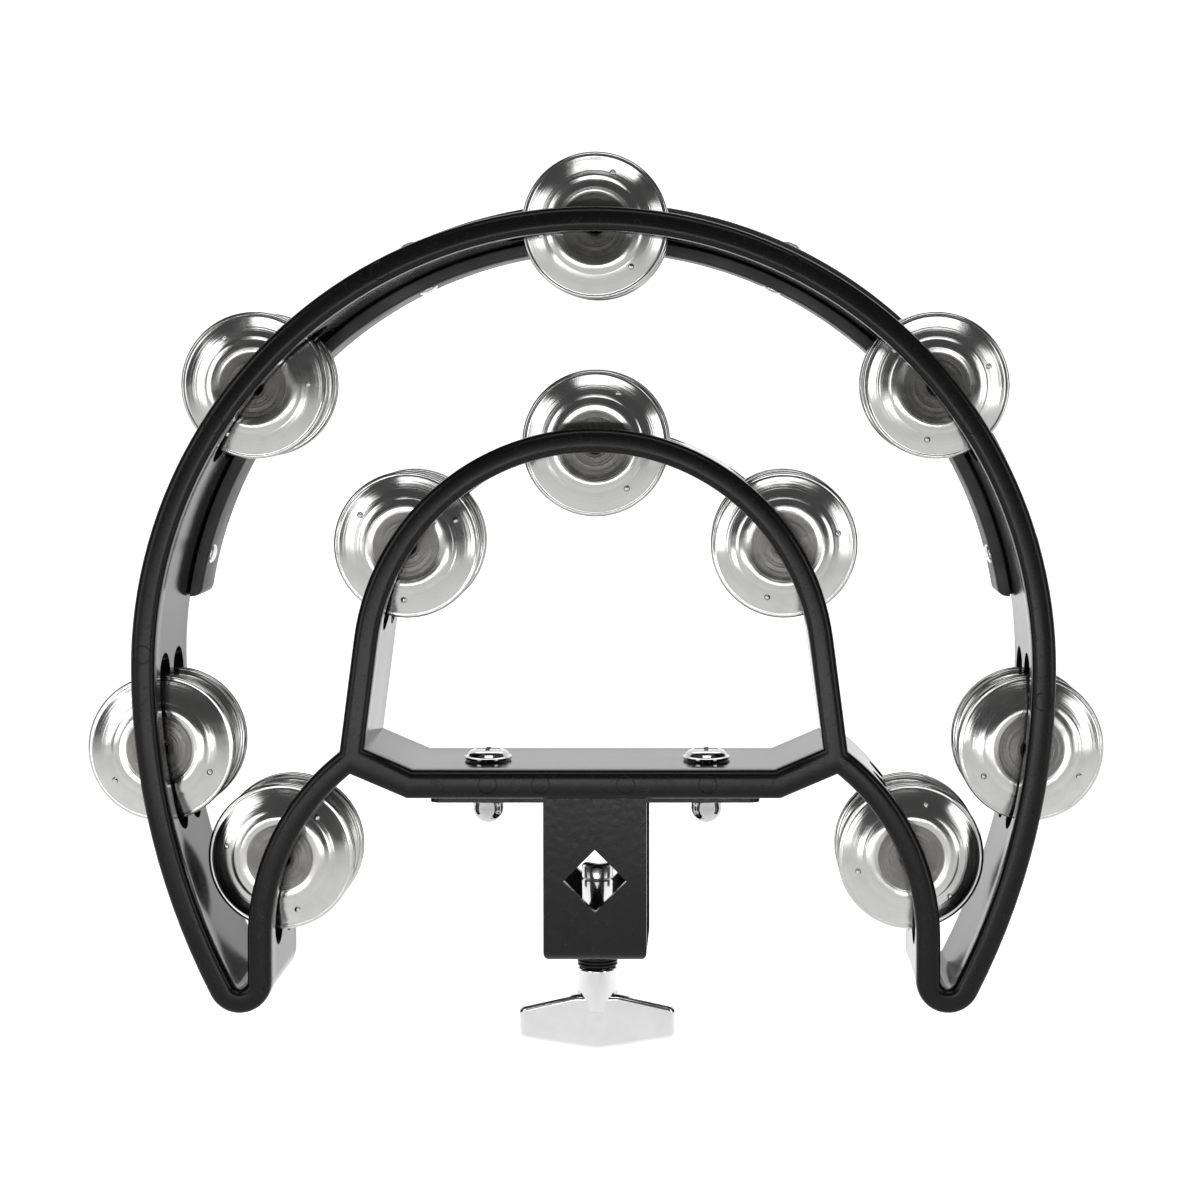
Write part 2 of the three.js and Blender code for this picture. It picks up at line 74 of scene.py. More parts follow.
class Half(Enum):
    """The two discs of a pair; the value is the way the hub faces along Y."""

    A = -1
    B = 1


# ---- Shader and geometry trees ---------------------------------------------------------------------------


class Sock:
    """One value in a node tree, so that shader maths reads as Python."""

    def __init__(self, graph: "Graph", socket: bpy.types.NodeSocket) -> None:
        """Wraps a socket.

        Args:
            graph: the graph that the socket belongs to.
            socket: an output socket.
        """
        self.graph = graph
        self.socket = socket

    def _math(self, operation: str, first: "Value", second: "Value") -> "Sock":
        """Adds one Math node.

        Args:
            operation: the Math node's operation.
            first: its first value.
            second: its second value.

        Returns:
            The node's result.
        """
        return self.graph.node("ShaderNodeMath", {"operation": operation}, {0: first, 1: second})

    def __add__(self, other: "Value") -> "Sock":
        """This value plus another."""
        return self._math("ADD", self, other)

    def __radd__(self, other: "Value") -> "Sock":
        """Another value plus this one."""
        return self._math("ADD", other, self)

    def __sub__(self, other: "Value") -> "Sock":
        """This value less another."""
        return self._math("SUBTRACT", self, other)

    def __rsub__(self, other: "Value") -> "Sock":
        """Another value less this one."""
        return self._math("SUBTRACT", other, self)

    def __mul__(self, other: "Value") -> "Sock":
        """This value times another."""
        return self._math("MULTIPLY", self, other)

    def __rmul__(self, other: "Value") -> "Sock":
        """Another value times this one."""
        return self._math("MULTIPLY", other, self)


Value = Union[Sock, Number, Sequence[float]]


class Graph:
    """A node tree that is built by one method, whatever the node."""

    def __init__(self, tree: bpy.types.NodeTree) -> None:
        """Starts with an empty tree.

        Args:
            tree: the node tree to fill.
        """
        self.tree = tree
        tree.nodes.clear()

    def node(
        self,
        kind: str,
        settings: Optional[dict] = None,
        values: Optional[dict] = None,
        output: Union[int, str] = 0,
    ) -> Sock:
        """Adds a node.

        Args:
            kind: the node's type.
            settings: its own settings; "stops" sets a colour ramp's stops.
            values: numbers or links for its input sockets, by name or index.
            output: the output to return.

        Returns:
            The chosen output.
        """
        made = self.tree.nodes.new(kind)
        for key, value in (settings or {}).items():
            if key == "stops":
                self._set_stops(made.color_ramp, value)
            else:
                setattr(made, key, value)
        for key, value in (values or {}).items():
            self.feed(made.inputs[key], value)
        return Sock(self, made.outputs[output])

    def feed(self, socket: bpy.types.NodeSocket, value: Value) -> None:
        """Links or sets one input.

        Args:
            socket: the input socket.
            value: a Sock, several Socks for a socket that takes many, a number or a vector.
        """
        if isinstance(value, Sock):
            self.tree.links.new(value.socket, socket)
        elif isinstance(value, (list, tuple)) and value and isinstance(value[0], Sock):
            for each in value:
                self.tree.links.new(each.socket, socket)
        else:
            socket.default_value = value

    @staticmethod
    def _set_stops(ramp: bpy.types.ColorRamp, stops: Sequence[Point]) -> None:
        """Sets a ramp's stops to greys.

        Args:
            ramp: the colour ramp.
            stops: (position, grey) pairs in order.
        """
        while len(ramp.elements) < len(stops):
            ramp.elements.new(1.0)
        for element, (position, grey) in zip(ramp.elements, stops):
            element.position = position
            element.color = (grey, grey, grey, 1.0)


class Surface(Graph):
    """A material's tree, with the noises and mixes that the finishes share."""

    def __init__(self, name: str) -> None:
        """Makes a new material.

        Args:
            name: the material's name.
        """
        self.material = bpy.data.materials.new(name)
        self.material.use_nodes = True
        super().__init__(self.material.node_tree)

    def place(self) -> Sock:
        """Object coordinates, in metres."""
        return self.node("ShaderNodeTexCoord", output="Object")

    def noise(self, vector: Sock, scale: float, detail: float = 3.0, roughness: float = 0.55) -> Sock:
        """A noise between about 0 and 1.

        Args:
            vector: where to read it.
            scale: its scale.
            detail: its octaves.
            roughness: how strong the fine octaves are.

        Returns:
            The noise's value.
        """
        values = {"Vector": vector, "Scale": scale, "Detail": detail, "Roughness": roughness}
        return self.node("ShaderNodeTexNoise", None, values)

    def ramp(self, value: Sock, stops: Sequence[Point]) -> Sock:
        """A value through a ramp of greys."""
        return self.node("ShaderNodeValToRGB", {"stops": stops}, {0: value})

    def mix(self, factor: Value, first: Value, second: Value) -> Sock:
        """Mixes two colours.

        Args:
            factor: 0 gives the first, 1 the second.
            first: a colour.
            second: a colour.

        Returns:
            The mixed colour.
        """
        return self.node(
            "ShaderNodeMix",
            {"data_type": "RGBA"},
            {"Factor": factor, 6: first, 7: second},
            output=2,
        )

    def bump(self, height: Sock, distance: float, strength: float = 1.0) -> Sock:
        """A bumped normal.

        Args:
            height: the height, 0 to 1.
            distance: what a height of 1 stands for, in metres.
            strength: the bump's strength.

        Returns:
            The normal.
        """
        values = {"Strength": strength, "Distance": distance, "Height": height}
        return self.node("ShaderNodeBump", None, values)

    def finish(self, values: dict) -> bpy.types.Material:
        """Ends the tree in a Principled shader.

        Args:
            values: the shader's inputs by name.

        Returns:
            The finished material.
        """
        shader = self.node("ShaderNodeBsdfPrincipled", None, values)
        output = self.tree.nodes.new("ShaderNodeOutputMaterial")
        self.tree.links.new(shader.socket, output.inputs["Surface"])
        return self.material


class GrowthTree(Graph):
    """A Geometry Nodes tree with named inputs, whose result becomes a plain mesh."""

    def __init__(self, name: str, inputs: dict[str, tuple[str, Number]]) -> None:
        """Makes the tree and its inputs.

        Args:
            name: the tree's name.
            inputs: socket type and default value of each named input.
        """
        super().__init__(bpy.data.node_groups.new(name, "GeometryNodeTree"))
        face = self.tree.interface
        face.new_socket("Geometry", in_out="INPUT", socket_type="NodeSocketGeometry")
        face.new_socket("Geometry", in_out="OUTPUT", socket_type="NodeSocketGeometry")
        for key, (kind, default) in inputs.items():
            socket = face.new_socket(key, in_out="INPUT", socket_type=kind)
            socket.default_value = default
        face.new_socket("Finish", in_out="INPUT", socket_type="NodeSocketMaterial")
        self.source = self.tree.nodes.new("NodeGroupInput")

    def given(self, name: str) -> Sock:
        """One of the tree's inputs."""
        return Sock(self, self.source.outputs[name])

    def close(self, geometry: Sock) -> None:
        """Ends the tree: real geometry, smooth shading and material.

        Args:
            geometry: what the tree made.
        """
        real = self.node("GeometryNodeRealizeInstances", None, {0: geometry})
        shaded = self.node("GeometryNodeSetShadeSmooth", None, {"Geometry": real, "Shade Smooth": True})
        dressed = self.node(
            "GeometryNodeSetMaterial", None, {"Geometry": shaded, "Material": self.given("Finish")}
        )
        end = self.tree.nodes.new("NodeGroupOutput")
        self.tree.links.new(dressed.socket, end.inputs[0])

    def grow(
        self, name: str, host: bpy.types.Mesh, values: dict, finish: bpy.types.Material
    ) -> bpy.types.Mesh:
        """Runs the tree once.

        Args:
            name: the new mesh's name.
            host: the mesh that the tree starts from.
            values: the inputs by name.
            finish: the material of what grows.

        Returns:
            A plain mesh.
        """
        grower = bpy.data.objects.new(name, host)
        bpy.context.scene.collection.objects.link(grower)
        modifier = grower.modifiers.new("grow", "NODES")
        modifier.node_group = self.tree
        wanted = {**values, "Finish": finish}
        for item in self.tree.interface.items_tree:
            if item.item_type == "SOCKET" and item.in_out == "INPUT" and item.name in wanted:
                modifier[item.identifier] = wanted[item.name]
        seen = grower.evaluated_get(bpy.context.evaluated_depsgraph_get())
        mesh = bpy.data.meshes.new_from_object(seen)
        mesh.name = name
        grower.modifiers.remove(modifier)
        bpy.data.objects.remove(grower)
        return mesh


# ---- Finishes --------------------------------------------------------------------------------------------


@dataclass(frozen=True)
class MouldedPlastic:
    """Black moulded plastic with a satin skin."""

    name: str = "moulded_plastic"
    shade: float = 0.005
    roughness: float = 0.1
    rim_rough: float = 0.1  # how much duller the front rim is
    rim_from: float = -0.0182  # the front rim's rear edge along Y
    grain: float = 2600.0

    def material(self) -> bpy.types.Material:
        """Builds the plastic: fine skin grain, slow gloss changes and light rubbing.

        Returns:
            The material.
        """
        s = Surface(self.name)
        at = s.place()
        skin = s.noise(at, self.grain, 2.0)
        flow = s.noise(at, 38.0, 4.0, 0.5)
        scuffs = s.ramp(s.noise(at, 420.0, 5.0, 0.7), [(0.56, 0.0), (0.74, 1.0)])
        depth = s.node("ShaderNodeSeparateXYZ", None, {0: at}, "Y")
        rim = s.node(
            "ShaderNodeMapRange",
            {"interpolation_type": "SMOOTHSTEP"},
            {"Value": depth, "From Min": self.rim_from, "From Max": self.rim_from - 0.001},
        )
        dark = (self.shade, self.shade, self.shade * 1.06, 1.0)
        worn = (self.shade * 2.1, self.shade * 2.1, self.shade * 2.15, 1.0)
        return s.finish(
            {
                "Base Color": s.mix(scuffs * 0.5, dark, worn),
                "Roughness": flow * 0.14 + scuffs * 0.1 + rim * self.rim_rough + (self.roughness - 0.06),
                "Normal": s.bump(skin * 0.3 + flow * 1.2, 0.00005, 0.6),
                "Specular IOR Level": 0.2,
            }
        )


@dataclass(frozen=True)
class BarRubber:
    """The striking bar's darker, duller moulding."""

    name: str = "bar_rubber"
    shade: float = 0.011
    roughness: float = 0.5

    def material(self) -> bpy.types.Material:
        """Builds the rubber: fine pores and rubbed patches.

        Returns:
            The material.
        """
        s = Surface(self.name)
        at = s.place()
        pores = s.noise(at, 1900.0, 3.0, 0.6)
        rubbed = s.ramp(s.noise(at, 60.0, 4.0), [(0.42, 0.0), (0.7, 1.0)])
        dark = (self.shade, self.shade, self.shade, 1.0)
        pale = (self.shade * 2.2, self.shade * 2.2, self.shade * 2.2, 1.0)
        return s.finish(
            {
                "Base Color": s.mix(rubbed * 0.6, dark, pale),
                "Roughness": self.roughness - 0.14 * rubbed,
                "Normal": s.bump(pores, 0.00005, 0.5),
            }
        )


@dataclass(frozen=True)
class GlossPaint:
    """Thick black paint on folded steel."""

    name: str = "gloss_paint"
    shade: float = 0.005
    roughness: float = 0.14

    def material(self) -> bpy.types.Material:
        """Builds the paint: orange peel, dust nibs and a clear gloss.

        Returns:
            The material.
        """
        s = Surface(self.name)
        at = s.place()
        peel = s.noise(at, 520.0, 2.0, 0.4)
        haze = s.noise(at, 45.0, 3.0)
        nibs = s.ramp(s.noise(at, 900.0, 1.0), [(0.72, 0.0), (0.8, 1.0)])
        dark = (self.shade, self.shade, self.shade, 1.0)
        dusty = (self.shade * 3.0, self.shade * 3.0, self.shade * 3.0, 1.0)
        return s.finish(
            {
                "Base Color": s.mix(haze * 0.4 + nibs * 0.3, dark, dusty),
                "Roughness": haze * 0.1 + (self.roughness - 0.03),
                "Normal": s.bump(peel + nibs * 0.5, 0.00007, 0.5),
                "Specular IOR Level": 0.25,
            }
        )


@dataclass(frozen=True)
class Plating:
    """Bright plating, with a grey for how dark it reads; the grey is tuned per part, which paints light and
    shade into it.
    """

    name: str = "bright_plating"
    shade: float = 0.5
    roughness: float = 0.08
    ripple: float = 0.00002

    def material(self) -> bpy.types.Material:
        """Builds the plating: faint ripples, finger haze and small pits.

        Returns:
            The material.
        """
        s = Surface(self.name)
        at = s.place()
        ripples = s.noise(at, 260.0, 2.0, 0.5)
        haze = s.ramp(s.noise(at, 90.0, 5.0, 0.6), [(0.4, 0.0), (0.75, 1.0)])
        pits = s.ramp(s.noise(at, 1500.0, 2.0), [(0.7, 0.0), (0.78, 1.0)])
        bright = (self.shade, self.shade, self.shade, 1.0)
        dull = (self.shade * 0.8, self.shade * 0.8, self.shade * 0.79, 1.0)
        return s.finish(
            {
                "Base Color": s.mix(haze * 0.5 + pits * 0.5, bright, dull),
                "Metallic": 1.0,
                "Roughness": haze * 0.12 + self.roughness,
                "Normal": s.bump(ripples - pits * 0.4, self.ripple, 0.5),
            }
        )


@dataclass(frozen=True)
class SpunSteel:
    """Polished sheet steel with turning marks; reads the disc's own map of radius and angle."""

    name: str = "spun_steel"
    painted_inner_shade: float = 0.1  # painted shade on the inner faces, where the two discs of a pair shade each other
    shade: float = 0.58
    hub_shade: float = 0.14
    hub_edge: float = 0.39  # of the map's full radius
    roughness: float = 0.15

    def material(self) -> bpy.types.Material:
        """Builds the steel: rings round the hub, a darker hub, shallow dents, scratches and painted shade
        on the inner faces.

        Returns:
            The material.
        """
        s = Surface(self.name)
        at = s.place()
        mapped = s.node("ShaderNodeUVMap", {"uv_map": SPIN_MAP})
        radius = s.node("ShaderNodeSeparateXYZ", None, {0: mapped}, "X")
        turn = s.node("ShaderNodeSeparateXYZ", None, {0: mapped}, "Y") * math.tau
        across = s.node("ShaderNodeMath", {"operation": "COSINE"}, {0: turn})
        up = s.node("ShaderNodeMath", {"operation": "SINE"}, {0: turn})
        ringed = s.node("ShaderNodeCombineXYZ", None, {0: radius * 60.0, 1: across * 0.35, 2: up * 0.35})
        rings = s.noise(ringed, 2.4, 3.0, 0.65)
        broad = s.noise(ringed, 0.35, 2.0, 0.5)
        dents = s.noise(at, 75.0, 2.0, 0.4)
        smears = s.ramp(s.noise(at, 130.0, 5.0, 0.65), [(0.45, 0.0), (0.75, 1.0)])
        hub = s.node(
            "ShaderNodeMapRange",
            {"interpolation_type": "SMOOTHSTEP"},
            {"Value": radius, "From Min": self.hub_edge + 0.012, "From Max": self.hub_edge - 0.012},
        )
        bright = (self.shade, self.shade, self.shade * 0.99, 1.0)
        dull = (self.shade * 0.74, self.shade * 0.735, self.shade * 0.72, 1.0)
        centre = (self.hub_shade, self.hub_shade * 0.98, self.hub_shade * 0.95, 1.0)
        # painted shade for the inner faces, standing for the shade between the two discs of a pair
        painted_inner_colour = (self.painted_inner_shade, self.painted_inner_shade, self.painted_inner_shade * 0.97, 1.0)
        inside = s.node("ShaderNodeAttribute", {"attribute_name": INSIDE_MARK}, None, "Fac")
        sheet = s.mix(rings * 0.5 + smears * 0.35, bright, dull)
        worn = rings * 0.1 + smears * 0.1
        return s.finish(
            {
                "Base Color": s.mix(inside, s.mix(hub, sheet, centre), painted_inner_colour),
                "Metallic": 1.0,
                "Roughness": worn + hub * 0.14 + inside * 0.2 + (self.roughness - 0.07),
                "Normal": s.bump(rings * 0.05 + broad * 0.4 + dents * 1.6, 0.00035, 0.55),
            }
        )


@dataclass(frozen=True)
class StudioCard:
    """A plain pale surface for the floor and backdrop."""

    name: str = "studio_card"
    shade: float = 0.84
    glow: float = 0.72
    dim: float = 0.2  # the glow far out in front
    dark_until: float = -0.8  # metres along Y
    bright_from: float = 0.1

    def material(self) -> bpy.types.Material:
        """Builds the card.

        Returns:
            The material.
        """
        s = Surface(self.name)
        at = s.place()
        tone = s.noise(at, 2.0, 2.0)
        pale = (self.shade, self.shade, self.shade, 1.0)
        paler = (self.shade + 0.03, self.shade + 0.03, self.shade + 0.03, 1.0)
        depth = s.node("ShaderNodeSeparateXYZ", None, {0: at}, "Y")
        lit = s.node(
            "ShaderNodeMapRange",
            {"interpolation_type": "SMOOTHSTEP"},
            {"Value": depth, "From Min": self.dark_until, "From Max": self.bright_from},
        )
        dim = (self.dim, self.dim, self.dim, 1.0)
        bright = (self.glow, self.glow, self.glow, 1.0)
        return s.finish(
            {
                "Base Color": s.mix(tone, pale, paler),
                "Roughness": 0.9,
                "Emission Color": s.mix(lit, dim, bright),
                "Emission Strength": 1.0,
            }
        )


# ---- Mesh helpers ----------------------------------------------------------------------------------------


def mesh_of(name: str, points: Sequence[Sequence[float]], faces: Sequence[Sequence[int]]) -> bpy.types.Mesh:
    """Makes a closed mesh whose faces point outwards.

    Args:
        name: the mesh's name.
        points: its vertices.
        faces: indices of each face's vertices.

    Returns:
        The mesh.
    """
    mesh = bpy.data.meshes.new(name)
    mesh.from_pydata([tuple(point) for point in points], [], [tuple(face) for face in faces])
    shaped = bmesh.new()
    shaped.from_mesh(mesh)
    bmesh.ops.remove_doubles(shaped, verts=shaped.verts, dist=1e-7)
    bmesh.ops.recalc_face_normals(shaped, faces=shaped.faces)
    shaped.to_mesh(mesh)
    shaped.free()
    return mesh


def lofted(name: str, sections: Sequence[Sequence[Sequence[float]]], closed: bool) -> bpy.types.Mesh:
    """Joins closed sections of equal length into one skin.

    Args:
        name: the mesh's name.
        sections: rings of points.
        closed: whether the last section joins the first; if not, both ends are capped.

    Returns:
        The mesh.
    """
    width = len(sections[0])
    count = len(sections)
    points = [point for section in sections for point in section]
    faces = []
    for i in range(count if closed else count - 1):
        here, there = i * width, ((i + 1) % count) * width
        for j in range(width):
            k = (j + 1) % width
            faces.append((here + j, here + k, there + k, there + j))
    if not closed:
        faces.append(tuple(range(width)))
        faces.append(tuple(range((count - 1) * width, count * width)))
    return mesh_of(name, points, faces)


def turned(name: str, profile: Sequence[Point], segments: int, place: Matrix) -> bpy.types.Mesh:
    """A shape of revolution about Z, then moved.

    Args:
        name: the mesh's name.
        profile: (radius, height) pairs; a radius of 0 closes a pole.
        segments: facets round the axis.
        place: where it goes.

    Returns:
        The mesh.
    """
    points, rings = [], []
    for radius, height in profile:
        if radius < 1e-7:
            rings.append([len(points)] * segments)
            points.append((0.0, 0.0, height))
            continue
        rings.append(list(range(len(points), len(points) + segments)))
        for i in range(segments):
            angle = math.tau * i / segments
            points.append((radius * math.cos(angle), radius * math.sin(angle), height))
    faces = []
    for below, above in zip(rings, rings[1:]):
        for i in range(segments):
            k = (i + 1) % segments
            corners = [below[i], below[k], above[k], above[i]]
            unique = list(dict.fromkeys(corners))
            if len(unique) > 2:
                faces.append(unique)
    mesh = mesh_of(name, points, faces)
    mesh.transform(place)
    return mesh


def joined(name: str, meshes: Sequence[bpy.types.Mesh]) -> bpy.types.Mesh:
    """Several meshes as one.

    Args:
        name: the new mesh's name.
        meshes: the meshes, which keep their own shapes.

    Returns:
        The new mesh.
    """
    shaped = bmesh.new()
    for mesh in meshes:
        shaped.from_mesh(mesh)
    whole = bpy.data.meshes.new(name)
    shaped.to_mesh(whole)
    shaped.free()
    return whole


def modified(mesh: bpy.types.Mesh, kind: str, settings: dict) -> bpy.types.Mesh:
    """A mesh after one modifier.

    Args:
        mesh: the mesh.
        kind: the modifier's type.
        settings: its settings.

    Returns:
        The new mesh.
    """
    worker = bpy.data.objects.new(mesh.name, mesh)
    bpy.context.scene.collection.objects.link(worker)
    modifier = worker.modifiers.new(kind.lower(), kind)
    for key, value in settings.items():
        setattr(modifier, key, value)
    result = bpy.data.meshes.new_from_object(worker.evaluated_get(bpy.context.evaluated_depsgraph_get()))
    result.name = mesh.name
    bpy.data.objects.remove(worker)
    return result


def combined(mesh: bpy.types.Mesh, other: bpy.types.Mesh, operation: str) -> bpy.types.Mesh:
    """Joins or cuts one mesh with another.

    Args:
        mesh: the mesh that is kept.
        other: the mesh that is added or taken away.
        operation: "UNION", "DIFFERENCE" or "INTERSECT".

    Returns:
        The new mesh.
    """
    tool = bpy.data.objects.new("tool", other)
    bpy.context.scene.collection.objects.link(tool)
    result = modified(mesh, "BOOLEAN", {"object": tool, "operation": operation, "solver": "EXACT"})
    bpy.data.objects.remove(tool)
    return result


def softened(mesh: bpy.types.Mesh, width: float, segments: int = 2, angle: float = 38.0) -> bpy.types.Mesh:
    """Rounds a mesh's sharp edges and shades it smooth.

    Args:
        mesh: the mesh.
        width: the rounding's width.
        segments: facets in the rounding.
        angle: edges sharper than this, in degrees, are rounded.

    Returns:
        The new mesh.
    """
    rounded = modified(
        mesh,
        "BEVEL",
        {
            "width": width,
            "segments": segments,
            "limit_method": "ANGLE",
            "angle_limit": math.radians(angle),
            "use_clamp_overlap": True,
        },
    )
    weights = {"mode": "FACE_AREA", "weight": 50, "keep_sharp": True}
    return modified(smoothed(rounded, 70.0), "WEIGHTED_NORMAL", weights)


def smoothed(mesh: bpy.types.Mesh, angle: float = 38.0) -> bpy.types.Mesh:
    """Shades a mesh smooth, apart from its sharp edges.

    Args:
        mesh: the mesh.
        angle: edges sharper than this, in degrees, stay sharp.

    Returns:
        The same mesh.
    """
    mesh.polygons.foreach_set("use_smooth", [True] * len(mesh.polygons))
    mesh.set_sharp_from_angle(angle=math.radians(angle))
    return mesh


def piece(
    mesh: bpy.types.Mesh,
    finish: Optional[bpy.types.Material],
    body: str,
    nodes: Sequence[str] = (),
) -> bpy.types.Object:
    """Makes a mesh a piece of the object.

    Args:
        mesh: the piece's mesh, in place.
        finish: its material, or None where the mesh already has its own.
        body: the CAD body that it rides on.
        nodes: the CAD nodes that it stands for.

    Returns:
        The piece.
    """
    made = bpy.data.objects.new(mesh.name, mesh)
    bpy.context.scene.collection.objects.link(made)
    if finish is not None:
        mesh.materials.clear()
        mesh.materials.append(finish)
    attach(made, body)
    if nodes:
        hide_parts(*nodes)
    log.info("%s: %d faces on %s", made.name, len(mesh.polygons), body)
    return made


def node_box(node: str) -> tuple[Vector, Vector]:
    """A CAD node's lowest and highest corners, as vectors."""
    low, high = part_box(node)
    return Vector(low), Vector(high)


def node_centre(node: str) -> Vector:
    """The middle of a CAD node's box."""
    low, high = node_box(node)
    return (low + high) / 2


def arc_points(centre: Vector, radius: float, start: float, end: float, steps: int) -> list[Vector]:
    """Points along an arc in X and Z, without the last one.

    Args:
        centre: the arc's centre, as X and Z.
        radius: its radius.
        start: its first angle, in degrees from +X towards +Z.
        end: its last angle.
        steps: how many points.

    Returns:
        The points.
    """
    angles = [math.radians(start + (end - start) * i / steps) for i in range(steps)]
    return [Vector((centre.x + radius * math.cos(a), centre.y + radius * math.sin(a))) for a in angles]


def offset_line(line: Sequence[Vector], distance: float, closed: bool) -> list[Vector]:
    """A line moved sideways, with mitred corners.

    Args:
        line: the points, as X and Z.
        distance: how far to the right of the way it runs.
        closed: whether its last point joins its first.

    Returns:
        The moved points.
    """
    last = len(line) - 1
    moved = []
    for i, point in enumerate(line):
        before = line[(i - 1) % len(line)] if i or closed else line[0]
        after = line[(i + 1) % len(line)] if i < last or closed else line[last]
        arriving = (point - before).normalized()
        leaving = (after - point).normalized()
        along = (arriving + leaving).normalized()
        square = max(along.dot(leaving), along.dot(arriving))
        moved.append(point + Vector((along.y, -along.x)) * (distance / square))
    return moved


def swept(name: str, line: Sequence[Vector], section: Sequence[Point], closed: bool) -> bpy.types.Mesh:
    """A section carried along a line in X and Z.

    Args:
        name: the mesh's name.
        line: the line's points.
        section: (offset to the right, y) pairs, a closed outline.
        closed: whether the line is closed.

    Returns:
        The mesh.
    """
    rails = [(offset_line(line, offset, closed), y) for offset, y in section]
    sections = [[(rail[i].x, y, rail[i].y) for rail, y in rails] for i in range(len(line))]
    return lofted(name, sections, closed)


# ---- The moulded frame -----------------------------------------------------------------------------------


@dataclass
class MouldedFrame:
    """The horseshoe frame: one closed band with rounded rims, jingle slots and a crossbar."""

    outer_radius: float = 129.5 * MM
    arch_radius: float = 66.0 * MM
    horn_radius: float = 204.8 * MM
    tip_radius: float = 5.8 * MM
    tip_drop: float = 90.0 * MM
    leg_straight: float = 12.0 * MM
    leg_radius: float = 65.2 * MM
    leg_turn: float = 53.6  # degrees that the leg curves through
    wall: float = 6.2 * MM
    rim: float = 7.0 * MM
    rim_depth: float = 4.6 * MM
    crossbar_wall: float = 7.2 * MM
    crossbar_rim: float = 8.4 * MM
    crossbar_drop: float = 7.4 * MM
    crossbar_level: float = 105.8 * MM
    bolt_hole: float = 3.3 * MM
    slot_width: float = 13.3 * MM
    slot_length: float = 52.0 * MM
    mark_radius: float = 2.58 * MM
    mark_wire: float = 0.14 * MM
    fine: float = 2.0  # degrees between facets of the big arcs
    stations: dict[str, float] = field(
        default_factory=lambda: {
            "top": 90.0,
            "upper_left": 140.2,
            "upper_right": 39.8,
            "side_left": 190.4,
            "side_right": -10.4,
            "arch_top": 90.0,
            "arch_left": 146.6,
            "arch_right": 33.4,
            "leg_left": 159.6,
            "leg_right": 20.4,
        }
    )

    def __post_init__(self) -> None:
        """Works out the places that follow from the CAD's boxes."""
        low, high = node_box("frame")
        self.front, self.rear = low.y, high.y
        self.arc_centre = Vector((0.0, node_centre("pin_top").z - self.outer_radius))
        horn_x = self.horn_radius - self.outer_radius
        reach = self.horn_radius - self.tip_radius
        self.horn_turn = math.degrees(math.asin(self.tip_drop / reach))
        self.horn_centre = Vector((horn_x, self.arc_centre.y))
        turn = math.radians(self.horn_turn)
        self.tip_centre = Vector((horn_x - reach * math.cos(turn), self.arc_centre.y - self.tip_drop))
        leg_x = self.tip_centre.x + self.tip_radius
        self.leg_centre = Vector((leg_x + self.leg_radius, self.tip_centre.y + self.leg_straight))
        end = math.radians(180 - self.leg_turn)
        self.junction = self.leg_centre + Vector((math.cos(end), math.sin(end))) * self.leg_radius
        spoke = self.junction - self.arc_centre
        self.arch_touch = (
            math.degrees(math.atan2(spoke.y, spoke.x))
            + 360
            - math.degrees(math.acos(self.arch_radius / spoke.length))
        )
        self.crossbar_z = self.junction.y - self.crossbar_drop

    def line(self) -> list[Vector]:
        """The band's centre line, anticlockwise from the outer arc's right end.

        Returns:
            The closed line's points.
        """
        side = [
            *arc_points(self.horn_centre, self.horn_radius, 180, 180 + self.horn_turn, 14),
            *arc_points(self.tip_centre, self.tip_radius, 180 + self.horn_turn, 360, 18),
            *arc_points(self.tip_centre, self.tip_radius, 360, 360, 1),
            *arc_points(self.leg_centre, self.leg_radius, 180, 180 - self.leg_turn, 26),
            self.junction,
        ]
        mirrored = [Vector((-point.x, point.y)) for point in reversed(side)]
        top = arc_points(self.arc_centre, self.outer_radius, 0, 180, round(180 / self.fine))[1:]
        sweep = 2 * (self.arch_touch - 90)
        arch = [
            *arc_points(
                self.arc_centre, self.arch_radius, self.arch_touch, 180 - self.arch_touch, round(sweep / 3)
            ),
            *arc_points(self.arc_centre, self.arch_radius, 180 - self.arch_touch, 0, 1),
        ]
        return [*top, *side, *arch, *mirrored]

    def section(self, wall: float, rim: float) -> list[Point]:
        """The band's section: a thin wall with a crowned rim in front and a slighter one at the rear.

        Args:
            wall: the wall's thickness.
            rim: the rims' thickness.

        Returns:
            (offset, y) pairs.
        """
        crown, steps, power = 2.5 * MM, 9, 0.62
        fillet = 0.5 * MM
        half, thin = rim / 2, wall / 2
        rear_half, rear_slope = thin + 0.08 * MM, 2.0 * MM

        def crowned(y: float, way: int, half: float) -> list[Point]:
            """The crown of one rim, from +offset to -offset.

            Args:
                y: the rim's outermost place.
                way: -1 in front and 1 behind.
                half: half the rim's thickness.

            Returns:
                (offset, y) pairs.
            """
            made = []
            for i in range(2 * steps + 1):
                angle = math.pi * i / (2 * steps)
                across = math.copysign(abs(math.cos(angle)) ** power, math.cos(angle)) * half
                made.append((across, y - way * crown * (1 - math.sin(angle) ** power)))
            return made

        front_step = self.front + self.rim_depth
        rear_step = self.rear - self.rim_depth
        levels = [front_step + (rear_step - front_step) * i / 6 for i in range(1, 5)]
        return [
            (thin, front_step + fillet),
            (half, front_step),
            *crowned(self.front, -1, half),
            (-half, front_step),
            (-thin, front_step + fillet),
            *((-thin, y) for y in levels),
            (-thin, rear_step - rear_slope),
            (-rear_half, rear_step),
            *reversed(crowned(self.rear, 1, rear_half)),
            (rear_half, rear_step),
            (thin, rear_step - rear_slope),
            *((thin, y) for y in reversed(levels)),
        ]

